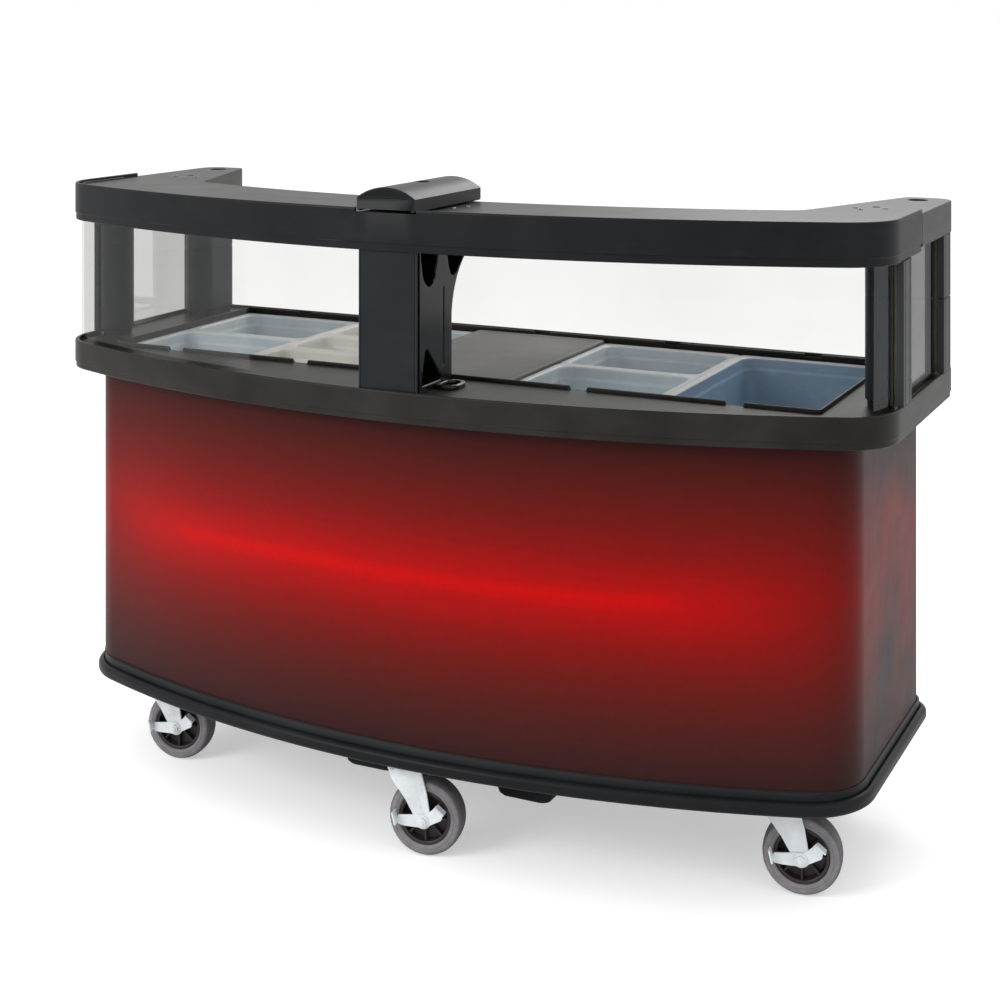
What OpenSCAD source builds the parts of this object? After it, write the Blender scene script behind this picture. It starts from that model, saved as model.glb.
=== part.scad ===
// Mobile food bar: a bowed, castered body with an insulated pan well on top,
// a clear guard standing round the well and a service shelf carried above it.
// X runs along the front, +Y points from the customer's side to the server's
// side, +Z is up. The origin is on the floor at the middle of the footprint.

/* [Overall] */
// Length along the front
length = 1905; // [1890:5:1960]
// Depth from the bow's foremost line to the back of the base
depth = 788; // [780:2:830]
// Plan radius of the bowed front of the counter
bow_r = 2450; // [2400:10:2900]
// Plan radius where the bow turns into the ends
corner_r = 120; // [100:5:135]

/* [Heights] */
// Floor to the underside of the base
base_z = 190; // [188:1:200]
// Floor to the lower edge of the counter band
band_z = 880; // [860:5:920]
// Height of the counter band
band_h = 62; // [58:1:70]
// Counter band's top to the lower edge of the guard's fascia
guard_h = 274; // [240:2:320]
// Height of the fascia round the top shelf
fascia_h = 84; // [76:2:96]

/* [Base and body] */
// Overhang of the counter past the base at each end
base_side = 54; // [48:1:60]
// Overhang of the counter past the base at the front
base_front = 24; // [16:1:32]
// Thickness of the base moulding's edge
base_t = 28; // [24:1:32]
// Step from the base's edge in to the body, at each end
body_side = 18; // [14:1:24]
// Step from the base's edge in to the body, at the front
body_front = 21; // [18:1:24]
// Wall of the body moulding
body_wall = 12; // [8:1:14]
// Thickness of the decorated skin round the body
wrap_t = 3; // [2:0.5:4]

/* [Pan well] */
// Pitch of the pan columns, the width of a full-size pan
pan_w = 325; // [320:1:326]
// Length of a full-size pan
pan_l = 530; // [520:1:532]
// Depth of the deep pans
pan_h = 150; // [60:5:170]
// Inside depth of the well below the pans' rims
well_h = 190; // [180:5:210]

/* [Casters] */
// Wheel diameter
wheel_d = 152.4; // [140:0.2:153]
// Wheel width
wheel_w = 50; // [40:1:52]
// Distance that the wheel trails behind its swivel axis
lead = 40; // [34:1:42]
// Direction that the wheels trail in, turned from +X
trail_a = 10; // [0:5:30]

/* [Hidden] */
eps = 0.5;             // overlap that makes cuts and unions clean
gap = 0.2;             // clearance between parts that are fastened together
run = 0.05;            // radial clearance of a running shaft

half = length / 2;
front_y = -depth / 2;
rear_y = depth / 2;
counter_rear = rear_y - 22;
shelf_rear = rear_y - 20;

// heights
floor_z = base_z + base_t;           // top of the base, where the body stands
deck_z = band_z + band_h - 8;        // counter surface
ledge_z = deck_z - 9;                // recess that the pans' rims rest in
deck_t = 14;
lip_z = band_z + band_h;             // top of the counter's rims
fascia_z = lip_z + guard_h;
fascia_top = fascia_z + fascia_h;
shelf_top = fascia_top - 8;          // shelf surface
shelf_t = 8;
shelf_low = shelf_top - shelf_t;     // underside of the shelf's plate

// body plan
base_half = half - base_side;
base_y = front_y + base_front;
base_r = bow_r - 40;
base_corner = 148;
body_half = base_half - body_side;
body_y = base_y + body_front;
body_r = bow_r - 45;
body_corner = 110;
shelf_ledge_y = front_y + 300;        // ledges that carry the storage shelves
shelf_ledge_l = 380;
shelf_ledge_h = 14;
shelf_ledge_z = 452;
boss_x = 181;
boss_y = front_y + 248;              // front of the bosses under the base
rear_corner = 45;

// well, given by the outer edges of the pan rims
cols = 5;
well_w = cols * pan_w;
well_y = front_y + 212;              // front edge of the pans' rims
well_mid = well_y + pan_l / 2;
ledge = 11;                          // width of rim that rests on the deck
tub_wall = 4;
tub_x = well_w / 2 - ledge;          // half width of the tub, inside
tub_y = pan_l / 2 - ledge;           // half depth of the tub, inside
tub_corner = 30;
tub_floor = ledge_z - well_h;
foam_wall = 15;
foam_floor = 30;
shell_t = 3;
well_wall = tub_wall + foam_wall + shell_t + 2 * gap;  // from the tub's inside to the shell's outside
rim_t = 3;                           // thickness of the pans' rims
pan_wall = 3;
bar_w = 20;
bar_h = 12;

// guard and shelf, as insets from the counter's outline
fascia_t = 8;
guard_in = 14;
guard_t = 6;
fascia_end = front_y + 456;          // where the fascia stops along the ends
trim_y = front_y + 331.5;            // middle of the trim between front and end guards
trim_rear_y = front_y + 687.5;       // middle of the trim behind the end guard
trim_w = 26.5;
trim_l = 65;
trim_slot = 12;                      // depth of the slots that take the guard's edges
shelf_band = 280;                    // depth of the shelf behind the bow
arm_a = 19.5;                        // slant of the inner edges of the shelf's arms
arm_r = 60;                          // radius where the arms leave the bowed part
arm_x = 675;                         // centre of that radius
post_flat_x = half - trim_w - gap;   // outer flats of the posts, against the trims
post_front_x = half - 42.5;
post_front_y = front_y + 331;
post_front_d = 77;
post_rear_w = 76;
post_rear_l = 143;
post_rear_x = post_flat_x - post_rear_w / 2;
post_rear_y = front_y + 671.5;
plate_w = 132;                       // centre post and clamp bar
plate_t = 16;
plate_y = front_y + 10.4;             // front face of the centre post
clamp_l = 293;
clamp_bolt_y = front_y + 150;
guard_z0 = deck_z - 4;
guard_z1 = shelf_low - 10;
guard_front_end = trim_y - trim_l / 2 + trim_slot - 1.5;     // rear edge of a front guard
guard_end_front = trim_y + trim_l / 2 - trim_slot + 1.5;     // front edge of an end guard
guard_end_rear = trim_rear_y - trim_l / 2 + trim_slot - 1.5;
skirt_z = fascia_z + 10;             // lower edge of the shelf's own outer skirt

// sockets, ports and screws in the shelf
socket_x = half - 66;
socket_y = front_y + 708;
port_x = half - 110;
port_y = front_y + 530;
SHELF_SCREWS = [[half - 146, front_y + 500], [half - 128, front_y + 470], [half - 84, front_y + 500]];
CLAMP_SCREWS = [[84, front_y + 132], [96, front_y + 172]];

// casters
axle_z = wheel_d / 2;
axle_r = 6;
pin_r = 8;
crown_r = 40;
leg_t = 5;
leg_y = wheel_w / 2 + 4;             // inner face of a fork leg
plate_h = 6;
crown_top = base_z - 12;
crown_low = crown_top - 18;
brake_t = 3;
caster_front_x = 724;
caster_front_y = front_y + 270;
caster_mid_y = front_y + 100;
caster_rear_x = 640;
caster_rear_y = front_y + 656;
FRONT_LEFT = [-caster_front_x, caster_front_y];
FRONT_CENTRE = [0, caster_mid_y];
FRONT_RIGHT = [caster_front_x, caster_front_y];
REAR_LEFT = [-caster_rear_x, caster_rear_y];
REAR_RIGHT = [caster_rear_x, caster_rear_y];
CASTERS = [FRONT_LEFT, FRONT_CENTRE, FRONT_RIGHT, REAR_LEFT, REAR_RIGHT];
bolt_dx = 36;
bolt_dy = 26;
bolt_r = 4;

// drain
drain_x = 300;
drain_y = well_mid + 180;
drain_r = 19;
valve_z = tub_floor - 96;            // axis of the valve's outlet
stem_r = 5;

/* ---------- shared shapes ---------- */

// Outline with a bowed front of radius r, ends that meet it through corners
// of radius c and rear corners of radius rc, shrunk all round by inset.
module bow_plan(hw, front, rear, r, c, rc, inset = 0) {
    cy = front + r;
    fx = hw - c;
    fy = cy - sqrt(pow(r - c, 2) - fx * fx);
    k = (r + 20) / (r - c);
    intersection() {
        translate([0, cy]) circle(r - inset, $fn = 360);
        polygon([
            [-fx, front - 50], [-fx * k, cy - (cy - fy) * k], [-fx, fy],
            [inset - hw, fy], [inset - hw, rear - rc], [rc - hw, rear - inset],
            [hw - rc, rear - inset], [hw - inset, rear - rc], [hw - inset, fy],
            [fx, fy], [fx * k, cy - (cy - fy) * k], [fx, front - 50]
        ]);
    }
    for (s = [-1, 1]) {
        translate([s * fx, fy]) circle(c - inset, $fn = 96);
        translate([s * (hw - rc), rear - rc]) circle(rc - inset, $fn = 64);
    }
}

module base_plan(inset = 0) {
    bow_plan(base_half, base_y, rear_y, base_r, base_corner, 60, inset);
}

module body_plan(inset = 0) {
    bow_plan(body_half, body_y, counter_rear, body_r, body_corner, rear_corner, inset);
}

module counter_plan(inset = 0) {
    bow_plan(half, front_y, counter_rear, bow_r, corner_r, rear_corner, inset);
}

module shelf_plan(inset = 0) {
    bow_plan(half, front_y, shelf_rear, bow_r, corner_r, rear_corner, inset);
}

// Rounded rectangle, centred, with exact round corners.
module round_rect(w, l, r) {
    square([w - 2 * r, l], center = true);
    square([w, l - 2 * r], center = true);
    for (x = [-1, 1], y = [-1, 1])
        translate([x * (w / 2 - r), y * (l / 2 - r)]) circle(r, $fn = 48);
}

module slab(z0, z1) {
    translate([0, 0, z0]) linear_extrude(z1 - z0) children();
}

// Everything in front of the line y.
module before(y) {
    translate([-2000, y - 3000]) square([4000, 3000]);
}

module behind(y) {
    translate([-2000, y]) square([4000, 3000]);
}

module well_slab(z0, z1, grow) {
    translate([0, well_mid, 0]) slab(z0, z1)
        round_rect(2 * (tub_x + grow), 2 * (tub_y + grow), tub_corner + grow);
}

/* ---------- base and body ---------- */

module underside_boss(x) {
    top_w = 170;
    foot_w = 112;
    boss_l = 110;
    drop = 122;
    translate([x, boss_y + boss_l / 2, base_z])
        rotate([90, 0, 0]) linear_extrude(boss_l)
            polygon([[-top_w / 2, eps], [top_w / 2, eps], [foot_w / 2 + 10, 14 - drop],
                     [foot_w / 2 - 8, -drop], [8 - foot_w / 2, -drop], [-foot_w / 2 - 10, 14 - drop]]);
}

module base_deck() color([0.13, 0.13, 0.14]) {
    lip_in = 12;
    lip_h = 16;
    difference() {
        union() {
            slab(base_z, floor_z) base_plan();
            slab(floor_z - eps, floor_z + lip_h) difference() {
                base_plan(lip_in);
                body_plan(-gap);
            }
        }
        for (p = CASTERS, x = [-1, 1], y = [-1, 1])
            translate([p[0] + x * bolt_dx, p[1] + y * bolt_dy, base_z - 1])
                cylinder(r = bolt_r + gap, h = 23, $fn = 24);
    }
    for (s = [-1, 1]) underside_boss(s * boss_x);
}

module body_shell() color([0.16, 0.14, 0.14]) {
    inner = wrap_t + gap + body_wall;
    jamb = 60;
    rail_h = 40;
    well_back = well_mid + tub_y + well_wall + 1;
    difference() {
        slab(floor_z, band_z) body_plan(wrap_t + gap);
        slab(floor_z - 1, band_z - rail_h) body_plan(inner);
        slab(band_z - rail_h - 1, band_z + 1) intersection() {
            body_plan(inner);
            before(counter_rear - inner - 20);
        }
        // room for the well in the rail across the back
        translate([-tub_x - well_wall - 1, 0, band_z - rail_h - 1])
            cube([2 * (tub_x + well_wall + 1), well_back, rail_h + 2]);
        translate([jamb - body_half, counter_rear - 80, floor_z - 1])
            cube([2 * (body_half - jamb), 100, band_z - rail_h - floor_z + 1]);
    }
    // ledges that carry the storage shelves
    for (s = [-1, 1])
        translate([s * (body_half - inner - 12) - 12.5, shelf_ledge_y, shelf_ledge_z])
            cube([25, shelf_ledge_l, shelf_ledge_h]);
}

module front_wrap() color([0.8, 0.05, 0.05]) {
    slab(floor_z, band_z - 2) difference() {
        body_plan();
        body_plan(wrap_t);
        behind(counter_rear - rear_corner);
    }
}

module bay_divider() color([0.2, 0.2, 0.21]) {
    wall = 24;
    front = body_y + wrap_t + body_wall + 1;
    translate([-wall / 2, front, floor_z])
        cube([wall, counter_rear - 40 - front, 470]);
    translate([-wall / 2 - 14, shelf_ledge_y, shelf_ledge_z]) cube([wall + 28, shelf_ledge_l, shelf_ledge_h]);
}

module storage_shelves() color([0.24, 0.24, 0.25]) {
    inner = wrap_t + body_wall + 2;
    z = shelf_ledge_z + shelf_ledge_h;
    for (s = [0, 1]) mirror([s, 0, 0]) difference() {
        slab(z, z + 20) intersection() {
            body_plan(inner);
            translate([13, front_y]) square([body_half, depth - 90]);
        }
        slab(z + 6, z + 21) intersection() {
            body_plan(inner + 8);
            translate([21, front_y]) square([body_half - 30, depth - 98]);
        }
    }
}

/* ---------- counter and well ---------- */

module counter_top() color([0.12, 0.12, 0.13]) {
    rim_w = 9;
    well_lip = 6;
    difference() {
        union() {
            slab(band_z, lip_z) difference() {
                counter_plan();
                counter_plan(rim_w);
            }
            slab(ledge_z - deck_t, deck_z) counter_plan(rim_w - 1);
            // rim round the well
            translate([0, well_mid, 0]) slab(deck_z - eps, lip_z)
                round_rect(well_w + 2 + 2 * well_lip, pan_l + 2 + 2 * well_lip, 12);
            well_slab(tub_floor - tub_wall, ledge_z - 1, tub_wall);
        }
        translate([0, well_mid, 0]) slab(ledge_z, lip_z + 1)
            round_rect(well_w + 2, pan_l + 2, 6);
        well_slab(tub_floor, lip_z, 0);
        // finger notches in the rim, one at each end of every column
        for (i = [0 : cols - 1], s = [-1, 1])
            translate([column_x(i) - 17, well_mid + s * (pan_l / 2 + 4) - 6, deck_z - 3]) cube([34, 12, 20]);
        // groove that the guard stands in
        slab(deck_z - 5, deck_z + 20) difference() {
            counter_plan(guard_in - 0.6);
            counter_plan(guard_in + guard_t + 0.6);
            behind(guard_end_rear + 1);
        }
        translate([drain_x, drain_y, tub_floor - 20]) cylinder(r = drain_r + gap, h = 40, $fn = 64);
    }
    // cleats under the ends of the pan bars
    for (i = [1 : cols - 1], s = [-1, 1])
        translate([column_x(i) - pan_w / 2 - bar_w / 2, well_mid + s * (tub_y - 4) - 5, ledge_z - bar_h - 10])
            cube([bar_w, 10, 10]);
}

function column_x(i) = (i - (cols - 1) / 2) * pan_w;

module well_insulation() color([0.93, 0.9, 0.78]) {
    fit = tub_wall + gap;
    difference() {
        well_slab(tub_floor - tub_wall - foam_floor, band_z, fit + foam_wall);
        well_slab(tub_floor - tub_wall - gap, band_z + 1, fit);
        translate([drain_x, drain_y, tub_floor - 60]) cylinder(r = 30, h = 80, $fn = 64);
    }
}

module well_shell() color([0.18, 0.18, 0.19]) {
    fit = tub_wall + gap + foam_wall;
    low = tub_floor - tub_wall - foam_floor;
    difference() {
        well_slab(low - gap - shell_t, band_z, fit + gap + shell_t);
        well_slab(low - gap, band_z + 1, fit + gap);
        translate([drain_x, drain_y, low - 20]) cylinder(r = drain_r + gap, h = 40, $fn = 64);
    }
}

module pan_bars() color([0.75, 0.76, 0.78]) {
    z = ledge_z - bar_h;
    clear = 0.5;
    for (i = [1 : cols - 1])
        translate([column_x(i) - (pan_w + bar_w) / 2, well_mid - tub_y + clear, z])
            cube([bar_w, 2 * (tub_y - clear), bar_h]);
    cross_l = pan_w - bar_w - 2 * clear;
    for (c = [[3, 2, 1], [1, 3, 1], [1, 3, 2]])
        translate([column_x(c[0]) - cross_l / 2, row_edge(c[1], c[2]) - bar_w / 2, z])
            cube([cross_l, bar_w, bar_h]);
    end_l = pan_w - ledge - bar_w / 2 - 2 * clear;
    translate([column_x(0) + pan_w / 2 - bar_w / 2 - clear - end_l, row_edge(2, 1) - bar_w / 2, z])
        cube([end_l, bar_w, bar_h]);
    split_l = pan_l / 3 - ledge - bar_w / 2 - 2 * clear;
    translate([column_x(1) - bar_w / 2, row_edge(3, 2) + bar_w / 2 + clear, z])
        cube([bar_w, split_l, bar_h]);
}

// Line between pan i - 1 and pan i of a column cut into n, from the front.
function row_edge(n, i) = well_y + pan_l * i / n;

// Food pan with its rim's outer size w by l, hung in the well at x, y.
module pan(x, y, w, l, h) {
    rim = 12;
    corner = 30;
    clear = 0.5;
    translate([x, y, 0]) difference() {
        union() {
            slab(ledge_z, ledge_z + rim_t) round_rect(w - 2 * clear, l - 2 * clear, 10);
            slab(ledge_z + rim_t - h, ledge_z + 1) round_rect(w - 2 * rim, l - 2 * rim, corner);
        }
        slab(ledge_z + rim_t - h + pan_wall, ledge_z + rim_t + 1)
            round_rect(w - 2 * rim - 2 * pan_wall, l - 2 * rim - 2 * pan_wall, corner - pan_wall);
    }
}

module pan_half_left_front() color([0.75, 0.85, 0.93, 0.6])
    pan(column_x(0), row_edge(4, 1), pan_w, pan_l / 2, pan_h);

module pan_half_left_rear() color([0.75, 0.85, 0.93, 0.6])
    pan(column_x(0), row_edge(4, 3), pan_w, pan_l / 2, pan_h);

module pan_third_front() color([0.93, 0.91, 0.82])
    pan(column_x(1), row_edge(6, 1), pan_w, pan_l / 3, 100);

module pan_third_middle() color([0.93, 0.91, 0.82])
    pan(column_x(1), row_edge(6, 3), pan_w, pan_l / 3, 100);

module pan_sixth_left() color([0.93, 0.91, 0.82])
    pan(column_x(1) - pan_w / 4, row_edge(6, 5), pan_w / 2, pan_l / 3, 100);

module pan_sixth_right() color([0.75, 0.85, 0.93, 0.6])
    pan(column_x(1) + pan_w / 4, row_edge(6, 5), pan_w / 2, pan_l / 3, 100);

module pan_half_right_front() color([0.75, 0.85, 0.93, 0.6])
    pan(column_x(3), row_edge(4, 1), pan_w, pan_l / 2, pan_h);

module pan_half_right_rear() color([0.75, 0.85, 0.93, 0.6])
    pan(column_x(3), row_edge(4, 3), pan_w, pan_l / 2, pan_h);

module pan_full_right() color([0.75, 0.85, 0.93, 0.6])
    pan(column_x(4), well_mid, pan_w, pan_l, pan_h);

module well_cover() color([0.36, 0.36, 0.37]) {
    translate([column_x(2), well_mid, 0]) {
        slab(ledge_z, ledge_z + 10) round_rect(pan_w - 1, pan_l - 1, 8);
        slab(ledge_z - 10, ledge_z + 1) difference() {
            round_rect(pan_w - 26, pan_l - 26, 20);
            round_rect(pan_w - 34, pan_l - 34, 16);
        }
    }
}

/* ---------- top shelf, posts and guard ---------- */

// Opening that leaves the shelf as a bowed band with two slanting arms.
module shelf_opening(grow = 0) {
    r = bow_r - shelf_band + grow;
    cy = front_y + bow_r;
    fy = cy - sqrt(pow(bow_r - shelf_band - arm_r, 2) - arm_x * arm_x);
    rr = arm_r + grow;
    k = (r + 20) / (bow_r - shelf_band - arm_r);
    tx = arm_x + rr * cos(arm_a);
    ty = fy - rr * sin(arm_a);
    run_l = (shelf_rear + 40 - ty) / cos(arm_a);
    ex = tx + run_l * sin(arm_a);
    intersection() {
        translate([0, cy]) circle(r, $fn = 360);
        polygon([
            [-arm_x, front_y], [-arm_x * k, cy - (cy - fy) * k], [-arm_x, fy], [-tx, ty],
            [-ex, shelf_rear + 40], [ex, shelf_rear + 40],
            [tx, ty], [arm_x, fy], [arm_x * k, cy - (cy - fy) * k], [arm_x, front_y]
        ]);
    }
    for (s = [-1, 1]) translate([s * arm_x, fy]) circle(rr, $fn = 96);
}

// The part of the outline that the fascia covers.
module fascia_plan(clear = 0) {
    difference() {
        shelf_plan();
        shelf_plan(fascia_t + clear);
        behind(fascia_end + clear);
    }
}

module fascia_band() color([0.12, 0.12, 0.13]) {
    notch_w = plate_w + 8;
    difference() {
        slab(fascia_z, fascia_top) fascia_plan();
        translate([-notch_w / 2, front_y - 10, shelf_top]) cube([notch_w, 40, 20]);
    }
}

module top_shelf() color([0.12, 0.12, 0.13]) {
    skirt_t = 5;
    inner_h = 52;
    socket_r = 22;
    difference() {
        union() {
            slab(shelf_low, shelf_top) difference() {
                shelf_plan();
                fascia_plan(gap);
                shelf_opening();
            }
            // outer skirt, behind the fascia and flush along the ends
            slab(skirt_z, shelf_low + 1) difference() {
                shelf_plan(fascia_t + gap);
                shelf_plan(fascia_t + gap + skirt_t);
                shelf_opening();
            }
            slab(skirt_z, shelf_low + 1) difference() {
                shelf_plan();
                shelf_plan(fascia_t + gap + skirt_t);
                before(fascia_end + gap);
                shelf_opening();
            }
            // inner skirt along the opening
            slab(shelf_low - inner_h, shelf_low + 1) difference() {
                shelf_opening(skirt_t);
                shelf_opening();
                behind(shelf_rear);
            }
            // rib behind the top of the guard
            slab(shelf_low - 30, shelf_low + 1) difference() {
                shelf_plan(guard_in + guard_t + 1);
                shelf_plan(guard_in + guard_t + 6);
                behind(post_rear_y - post_rear_l / 2 - 6);
            }
        }
        // room for the head of the centre post
        translate([-plate_w / 2 - 1, front_y, skirt_z - 1]) cube([plate_w + 2, 34, shelf_low - skirt_z + 1]);
        for (s = [-1, 1]) {
            translate([s * socket_x, socket_y, shelf_low - 1]) cylinder(r = socket_r, h = 20, $fn = 64);
            translate([s * port_x, port_y, shelf_low - 1]) cylinder(r = 9, h = 40, $fn = 48);
            for (p = SHELF_SCREWS)
                translate([s * p[0], p[1], shelf_low - 1]) cylinder(r = 2.6, h = 40, $fn = 24);
        }
        translate([0, clamp_bolt_y, shelf_low - 1]) cylinder(r = 5.2, h = 40, $fn = 32);
        for (p = CLAMP_SCREWS)
            translate([p[0], p[1], shelf_low - 1]) cylinder(r = 2.6, h = 40, $fn = 24);
    }
}

// Half-round bar across the shelf at the centre post.
module clamp_bar() color([0.14, 0.14, 0.14]) {
    side_h = 26;
    arch_h = 22;
    z = shelf_top + 2;
    r = (pow(plate_w / 2, 2) + arch_h * arch_h) / (2 * arch_h);
    difference() {
        translate([0, front_y + 1 + clamp_l, z]) rotate([90, 0, 0]) linear_extrude(clamp_l)
            intersection() {
                translate([0, side_h + arch_h - r]) circle(r, $fn = 160);
                translate([-plate_w / 2, 0]) square([plate_w, side_h + arch_h + 10]);
            }
        translate([0, clamp_bolt_y, z + 20]) cylinder(r = 16, h = 60, $fn = 64);
        translate([0, clamp_bolt_y, z - 1]) cylinder(r = 5.2, h = 60, $fn = 32);
        // slot across the underside at the front, above the fascia's notch
        translate([-plate_w / 2 + 8, front_y - 1, z - 1]) cube([plate_w - 16, 40, 5]);
    }
    // feet that raise the bar off the shelf
    for (y = [front_y + 60, front_y + clamp_l - 30])
        translate([-40, y, shelf_top]) cube([80, 20, 2 + eps]);
}

module clamp_screws() color([0.3, 0.3, 0.31]) {
    z = shelf_top + 2;
    translate([0, clamp_bolt_y, z + 20]) {
        cylinder(r = 9, h = 7, $fn = 48);
        translate([0, 0, -46]) cylinder(r = 5, h = 47, $fn = 32);
    }
    for (p = CLAMP_SCREWS) translate([p[0], p[1], shelf_top]) {
        cylinder(r = 5, h = 2.5, $fn = 32);
        translate([0, 0, -16]) cylinder(r = 2.4, h = 17, $fn = 24);
    }
}

module shelf_screws() color([0.3, 0.3, 0.31]) {
    for (s = [-1, 1], p = SHELF_SCREWS) translate([s * p[0], p[1], shelf_top]) {
        cylinder(r = 5.5, h = 2.5, $fn = 32);
        translate([0, 0, -16]) cylinder(r = 2.4, h = 17, $fn = 24);
    }
}

// Front plate of the centre post, grooved down both edges for the guard.
module centre_post() color([0.11, 0.12, 0.13]) {
    groove = 10;
    difference() {
        translate([-plate_w / 2, plate_y, deck_z]) cube([plate_w, plate_t, shelf_low - deck_z - gap]);
        for (s = [-1, 1])
            translate([s * (plate_w / 2 - groove / 2) - groove / 2 - eps, plate_y + 4, deck_z - 1])
                cube([groove + 2 * eps, guard_t + 2.6, shelf_low - deck_z + 2]);
    }
}

// Moulded bracket behind the plate; its back sweeps out under the shelf.
module centre_bracket() color([0.13, 0.13, 0.13]) {
    w = 120;
    y0 = plate_y + plate_t + gap;
    back = front_y + 172;
    flare = 101;
    flare_h = 150;
    top = shelf_low - gap;
    flare_z = top - 74;
    sweep = sweep_r(flare, flare_h);
    pocket = 40;
    difference() {
        translate([-w / 2, 0, 0]) rotate([90, 0, 90]) linear_extrude(w) difference() {
            polygon([[y0, deck_z], [back, deck_z], [back, flare_z - flare_h],
                     [back + flare, flare_z], [back + flare, top], [y0, top]]);
            // concave sweep
            translate([back + sweep, flare_z - flare_h]) circle(sweep, $fn = 160);
        }
        // threaded hole for the clamp bar's bolt
        translate([0, clamp_bolt_y, top - 24]) cylinder(r = 5.2, h = 30, $fn = 32);
        // blind pockets in both faces: two under the shelf and one at the foot
        for (s = [-1, 1]) translate([s * (w / 2 - pocket / 2 + eps), front_y, 0])
            rotate([90, 0, 90]) linear_extrude(pocket, center = true) {
                polygon([[39, top + 1], [40, top - 84], [50, top - 124], [62, top - 138], [74, top - 143],
                         [86, top - 138], [98, top - 124], [110, top - 84], [113, top + 1]]);
                polygon([[150, top + 1], [152, top - 84], [160, top - 114], [169, top - 130],
                         [178, top - 134], [190, top - 128], [206, top - 114], [222, top - 100],
                         [238, top - 84], [258, top - 66], [260, top + 1]]);
                polygon([[42, deck_z + 14], [128, deck_z + 14], [66, deck_z + 84], [58, deck_z + 80]]);
            }
    }
    // eyelets beside the foot
    for (s = [-1, 1]) translate([s * (w / 2 + 20), front_y + 128, deck_z])
        difference() {
            slab(0, 8) oval(25);
            slab(-1, 9) oval(16);
        }
}

// Circle of radius r drawn out along Y.
module oval(r) {
    for (y = [-10, 10]) translate([0, y]) circle(r, $fn = 48);
    square([2 * r, 20], center = true);
}

// Radius of the arc that leaves the bracket's back upright and ends at the flare.
function sweep_r(w, h) = (w * w + h * h) / (2 * w);

// Round post with a flat on its outer side.
module front_post_plan(s, inset = 0) {
    flat = post_flat_x - post_front_x - inset;
    intersection() {
        circle(d = post_front_d - 2 * inset, $fn = 96);
        translate([s * (flat - post_front_d), 0]) square(2 * post_front_d, center = true);
    }
}

module front_post(s) {
    z1 = shelf_low - gap;
    plug = 14;
    translate([s * post_front_x, post_front_y, 0]) difference() {
        union() {
            slab(deck_z + plug, z1) front_post_plan(s);
            slab(deck_z, deck_z + plug + 1) front_post_plan(s, 4);
        }
        slab(deck_z + 20, z1 + 1) front_post_plan(s, 8);
    }
}

module rear_post(s) {
    z1 = shelf_low - gap;
    plug = 14;
    r = post_rear_w / 2;
    translate([s * post_rear_x, post_rear_y, 0]) difference() {
        union() {
            slab(deck_z + plug, z1) round_rect(post_rear_w, post_rear_l, r - 2);
            slab(deck_z, deck_z + plug + 1) round_rect(post_rear_w - 8, post_rear_l - 8, r - 6);
        }
        slab(deck_z + 20, z1 + 1) round_rect(post_rear_w - 16, post_rear_l - 16, r - 10);
    }
}

module post_front_left() color([0.13, 0.13, 0.14]) front_post(-1);

module post_front_right() color([0.13, 0.13, 0.14]) front_post(1);

module post_rear_left() color([0.13, 0.13, 0.14]) rear_post(-1);

module post_rear_right() color([0.13, 0.13, 0.14]) rear_post(1);

// Half of the bowed front guard, from the centre post round the corner.
module front_guard(s) {
    slab(guard_z0, guard_z1) intersection() {
        difference() {
            counter_plan(guard_in);
            counter_plan(guard_in + guard_t);
            behind(guard_front_end);
        }
        translate([s * (half + plate_w / 2 - 9) - half, front_y - 10]) square([2 * half, depth]);
    }
}

module guard_front_left() color([0.85, 0.9, 0.92, 0.3]) front_guard(-1);

module guard_front_right() color([0.85, 0.9, 0.92, 0.3]) front_guard(1);

module end_guard(s) {
    x = half - guard_in - guard_t / 2;
    translate([s * x - guard_t / 2, guard_end_front, guard_z0])
        cube([guard_t, guard_end_rear - guard_end_front, guard_z1 - guard_z0]);
}

module guard_end_left() color([0.85, 0.9, 0.92, 0.3]) end_guard(-1);

module guard_end_right() color([0.85, 0.9, 0.92, 0.3]) end_guard(1);

// Strips flush with the counter's ends that take the upright edges of the guards.
module guard_trims() color([0.1, 0.1, 0.11]) {
    slot_x = half - guard_in - guard_t / 2;
    slot = guard_t + 0.6;
    for (s = [-1, 1], t = [[trim_y, fascia_z], [trim_rear_y, skirt_z]]) difference() {
        translate([s * (half - trim_w / 2), t[0], 0]) slab(lip_z + gap, t[1] - gap)
            square([trim_w, trim_l], center = true);
        translate([s * slot_x, t[0] - trim_l / 2, 0]) slab(lip_z, t[1] + 1)
            square([slot, 2 * trim_slot], center = true);
        if (t[0] == trim_y) translate([s * slot_x, t[0] + trim_l / 2, 0]) slab(lip_z, t[1] + 1)
            square([slot, 2 * trim_slot], center = true);
    }
}

/* ---------- drain ---------- */

module drain_fitting() color([0.8, 0.81, 0.83]) {
    tail = 62;
    translate([drain_x, drain_y, tub_floor]) difference() {
        union() {
            cylinder(r = 28, h = 3, $fn = 96);
            translate([0, 0, -tail]) cylinder(r = drain_r, h = tail + 1, $fn = 96);
        }
        translate([0, 0, -tail - 1]) cylinder(r = drain_r - 4, h = tail + 10, $fn = 96);
    }
}

module drain_strainer() color([0.8, 0.81, 0.83]) {
    translate([drain_x, drain_y, tub_floor + 3]) difference() {
        union() {
            cylinder(r = 24, h = 2, $fn = 96);
            translate([0, 0, -10]) cylinder(r = drain_r - 5, h = 11, $fn = 96);
            translate([0, 0, 1]) cylinder(r = 5, h = 12, $fn = 48);
        }
        translate([0, 0, -11]) cylinder(r = drain_r - 7, h = 11, $fn = 96);
        for (a = [0 : 45 : 315]) rotate(a) translate([8.5, 0, -1]) cylinder(r = 1.8, h = 5, $fn = 24);
    }
}

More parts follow.
